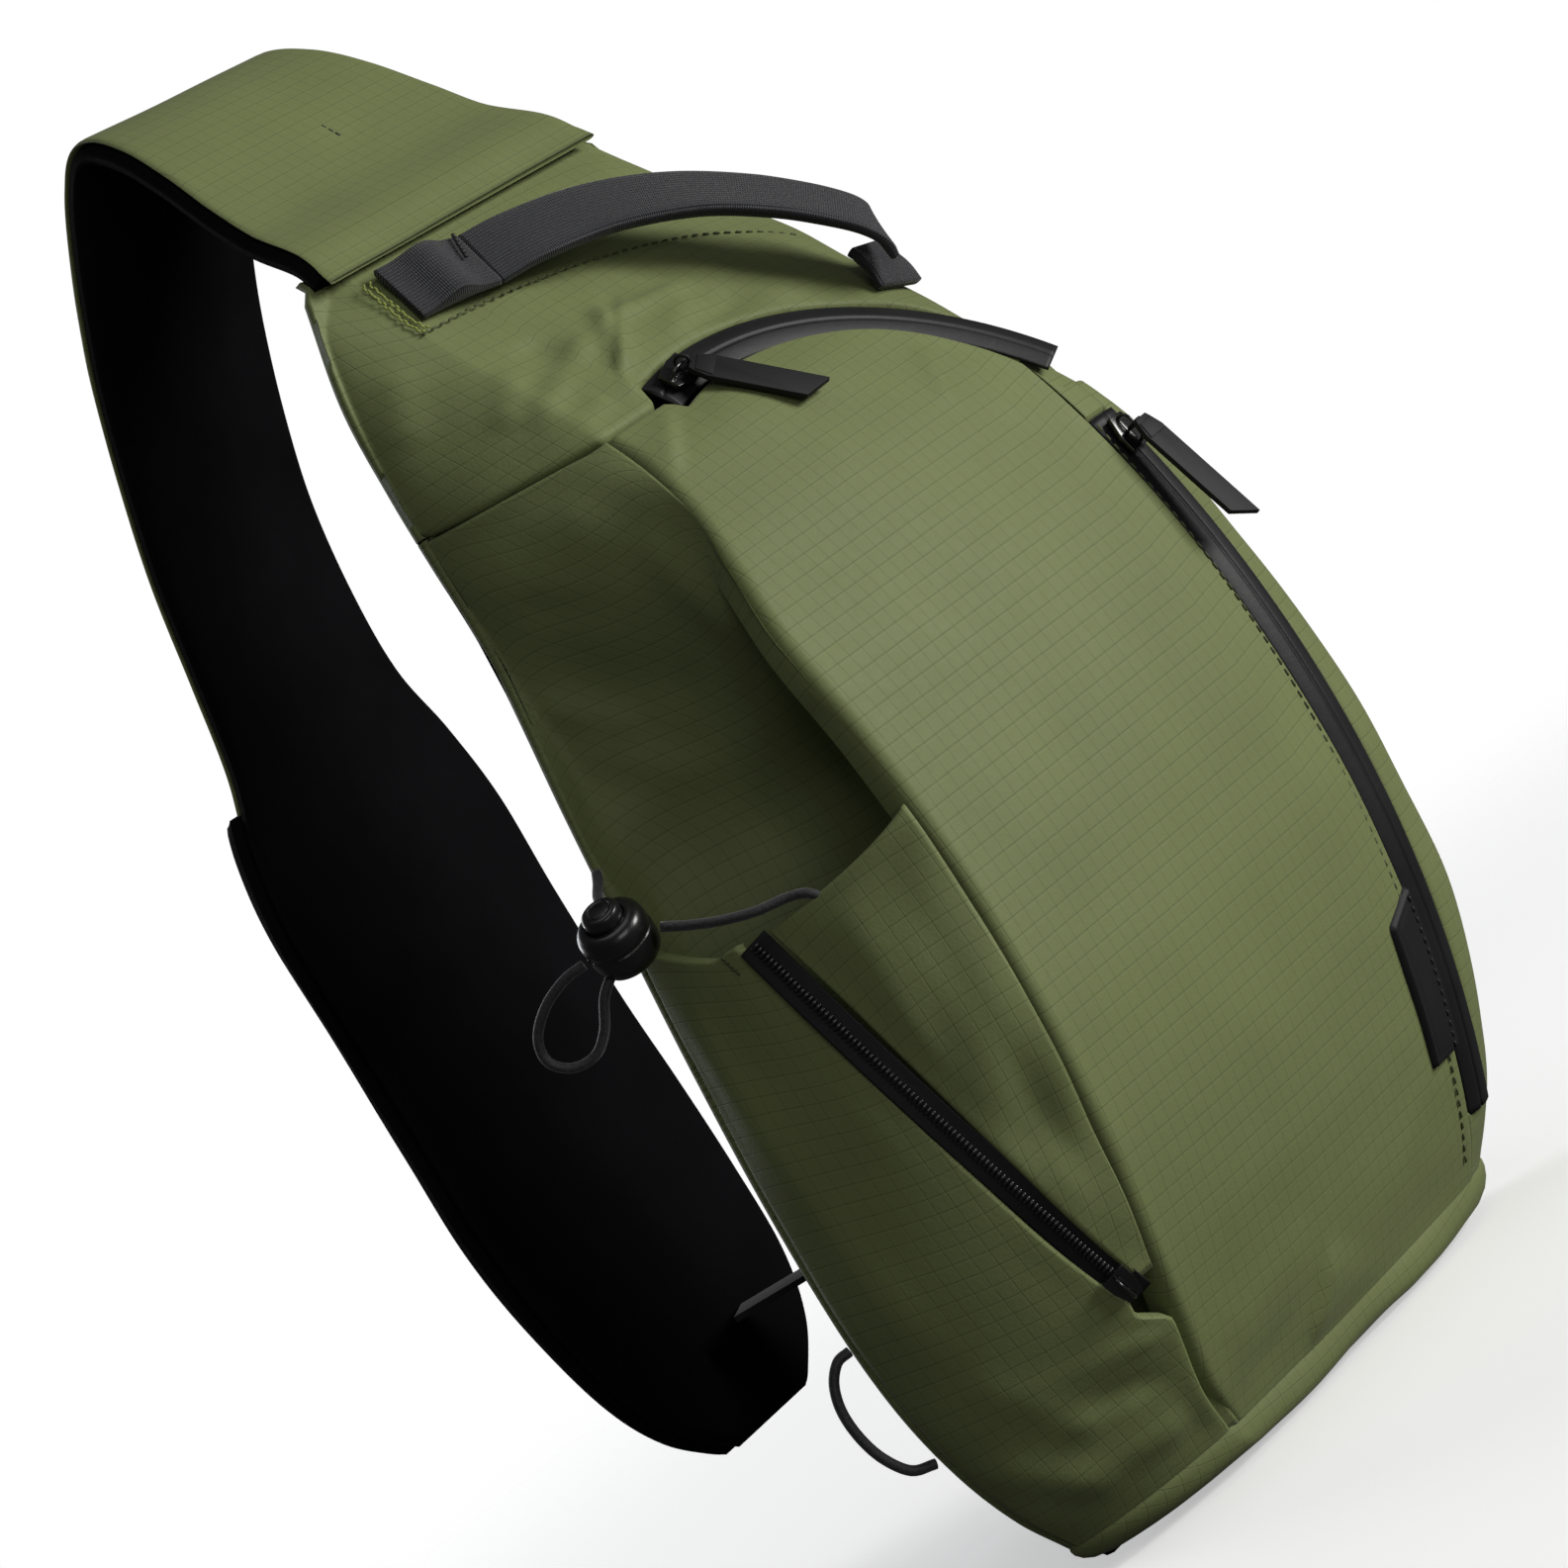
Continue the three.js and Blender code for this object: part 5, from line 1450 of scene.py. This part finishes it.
main_at, _, main_tangent = arc_at(main_arc, -9)
hard_piece("main_slider_body", basis(main_tangent, -MAIN_AXIS, main_at), slider_shapes(9.2, 12), enamel,
           "main_slider", ["main_zip_slider"])
hard_piece("main_puller_tab", puller_basis(main_at, -MAIN_AXIS, (0.5, -0.47, -0.73)),
           puller_shapes(36, 9.5, 5, False), soft_black, "main_pull", ["main_zip_puller"], 0.5)
front_at, front_radial, front_tangent = arc_at(front_arc, front_low + 1.6)
hard_piece("front_slider_body", basis(front_tangent, front_radial, front_at), slider_shapes(8.8, 11),
           enamel, "front_slider", ["front_zip_slider"])
hard_piece("front_puller_tab", puller_basis(front_at, front_radial, (0.04, -0.24, -0.97)),
           puller_shapes(40, 8.5, 5, True), soft_black, "front_pull", ["front_zip_puller"], 0.5)
pocket_at, pocket_radial, pocket_tangent = arc_at(pocket_arc, pocket_to - 2.2)
hard_piece("pocket_slider_body", basis(-pocket_tangent, pocket_radial, pocket_at), slider_shapes(7, 9),
           enamel, "pocket_slider", ["pocket_zip_slider"])


def label_piece():
    """A sewn patch with round edges and a stitched groove round its rim."""
    columns, rows = 20, 46
    left, right, low = 57.5, 72.2, 43
    s = np.linspace(0, 1, columns)[:, None]
    t = np.linspace(0, 1, rows)[None]
    top = 82 + 6 * s
    z = low + (top - low) * t
    x = left + (right - left) * s + 0 * z
    a = across_at(x, z)
    n = skin_normal(a, z)
    near = np.minimum(np.minimum(x - left, right - x), np.minimum(z - low, top - z))
    lift = 0.9 + 1.4 * rounded(near, 1.2)
    lift -= 0.35 * np.exp(-((near - 2.2) / 0.5) ** 2)
    points = skin(a, z) + n * lift[..., None]
    points[[0, -1]] -= n[[0, -1]] * 0.6
    points[:, [0, -1]] -= n[:, [0, -1]] * 0.6
    obj = link_mesh("label_tab", row(points.reshape(-1, 3)), grid_faces(columns, rows), soft_black)
    finish_piece(obj, "bag", ["label_patch"])


label_piece()


def turned(name, own_frame, outline, material, body, replaced, segments=72):
    """A turned piece from its (radius, height) outline, with rounded corners."""
    points = []
    for radius, height in outline:
        around = circle(segments, 2 * max(radius, 0.01), 2 * max(radius, 0.01))
        points += [(x, y, height) for x, y in around]
    faces = ring_faces(len(outline), segments)
    obj = link_mesh(name, row(placed(own_frame, points)), faces, material)
    soften_edges(obj, 0.3, 2, 35)
    return finish_piece(obj, body, replaced)


lock_basis = basis((0.707, -0.707, 0), (-0.38, -0.38, 0.84), (-115, -15.5, 200.5))
turned("lock_barrel", lock_basis, [
    (0, -7.25), (6.2, -7.25), (7.8, -6.6), (8.8, -5.2), (9.3, -3.4), (9.4, -2.2), (9.4, 0.6),
    (9.1, 0.9), (9.1, 1.5), (9.4, 1.8), (9.4, 3.4), (9.1, 5.2), (8.5, 6.3), (7.2, 7.2), (5.5, 7.25),
    (5.5, -3.75), (0, -3.75)], moulded, "bag", ["cord_lock_barrel"])
turned("lock_button", lock_basis, [
    (0, 1.65), (5.2, 1.65), (5.2, 9.2), (4.9, 10.2), (4.2, 10.7), (3.5, 10.75), (3.3, 10.5),
    (2.9, 10.5), (2.7, 10.8), (0, 10.85)], moulded, "lock_button", ["cord_lock_button"])


# ---------- stitching ----------
def sew(name, xz, lift, thread, length, gap, radius):
    """Stitches along a line of (x, z) points on the front."""
    path, _ = on_skin(xz, lift)
    dense = resample(smooth_path(path, 10), 1.0)
    stitch_line(name, dense, handle_ups(dense), thread, length, gap, radius)


sew("stitch_handle", [(-50.8, 353.5), (-38, 353.2), (-25.9, 352.5), (8.6, 348), (41.7, 339.5),
                      (60, 331), (71, 324)], 0.4, thread_green, 2.1, 1.2, 0.28)
sew("stitch_front_zip", [(73.2, 233), (71.8, 200), (70.6, 169), (69.4, 130), (68.4, 90), (67.6, 60),
                         (67.2, 32.5), (66.4, 16)], 0.55, thread_green, 2.3, 1.1, 0.3)

# the corner of the handle's opening: a double zigzag of light thread
corner, _ = on_skin([(-50.2, 373), (-49, 365.5), (-48, 358.5), (-47.2, 354.5)], 0.3)
corner_line = resample(smooth_path(corner, 8), 1.3)
corner_ups = handle_ups(corner_line)
_, corner_side, _ = frames_along(corner_line, corner_ups)
for k, shift in enumerate((-0.9, 1.3)):
    zigzag = corner_line + corner_side * (shift + 0.95 * (np.arange(len(corner_line)) % 2)[:, None])
    stitch_line("zigzag_%d" % (k + 1), zigzag, corner_ups, thread_light, 1.4, 0.0, 0.3)

# tacks: on the handle's band, on the strap and at the pocket zip's top, and a stitch line along the
# label's right edge
tack_path, tack_up = on_skin([(-22.5, 362.6), (-20.6, 366.2), (-19.0, 369.0)], 6.6)
stitch_line("band_tack", resample(tack_path, 0.9), tack_up, thread_black, 1.5, 0.0, 0.5)

at = int(3.2 * PER_SPAN)
strap_wide = unit(strap_right[at] - strap_left[at])
strap_ahead = unit(strap_right[at + 2] + strap_left[at + 2] - strap_right[at] - strap_left[at])
strap_out = np.cross(strap_wide, strap_ahead)
tack_at = (strap_left[at] + strap_right[at]) / 2 + strap_out * (PAD + 1.75) + strap_wide * 6
stitch_line("strap_tack", np.stack([tack_at - strap_ahead * 2.4, tack_at, tack_at + strap_ahead * 2.4]),
            np.tile(strap_out, (3, 1)), thread_black, 2.2, 0.0, 0.4)

sew("stitch_label", [(69.8, 84.5), (69.6, 70), (69.4, 56), (69.2, 45)], 2.25, thread_black,
    1.9, 1.1, 0.28)

zip_tack, zip_tack_up = on_side([(float(rear_right(np.array(z))) - 0.045, z)
                                 for z in (181.5, 179, 176.5)], 0.6)
stitch_line("pocket_tack", resample(zip_tack, 0.9), zip_tack_up, thread_green, 1.3, 0.0, 0.3)
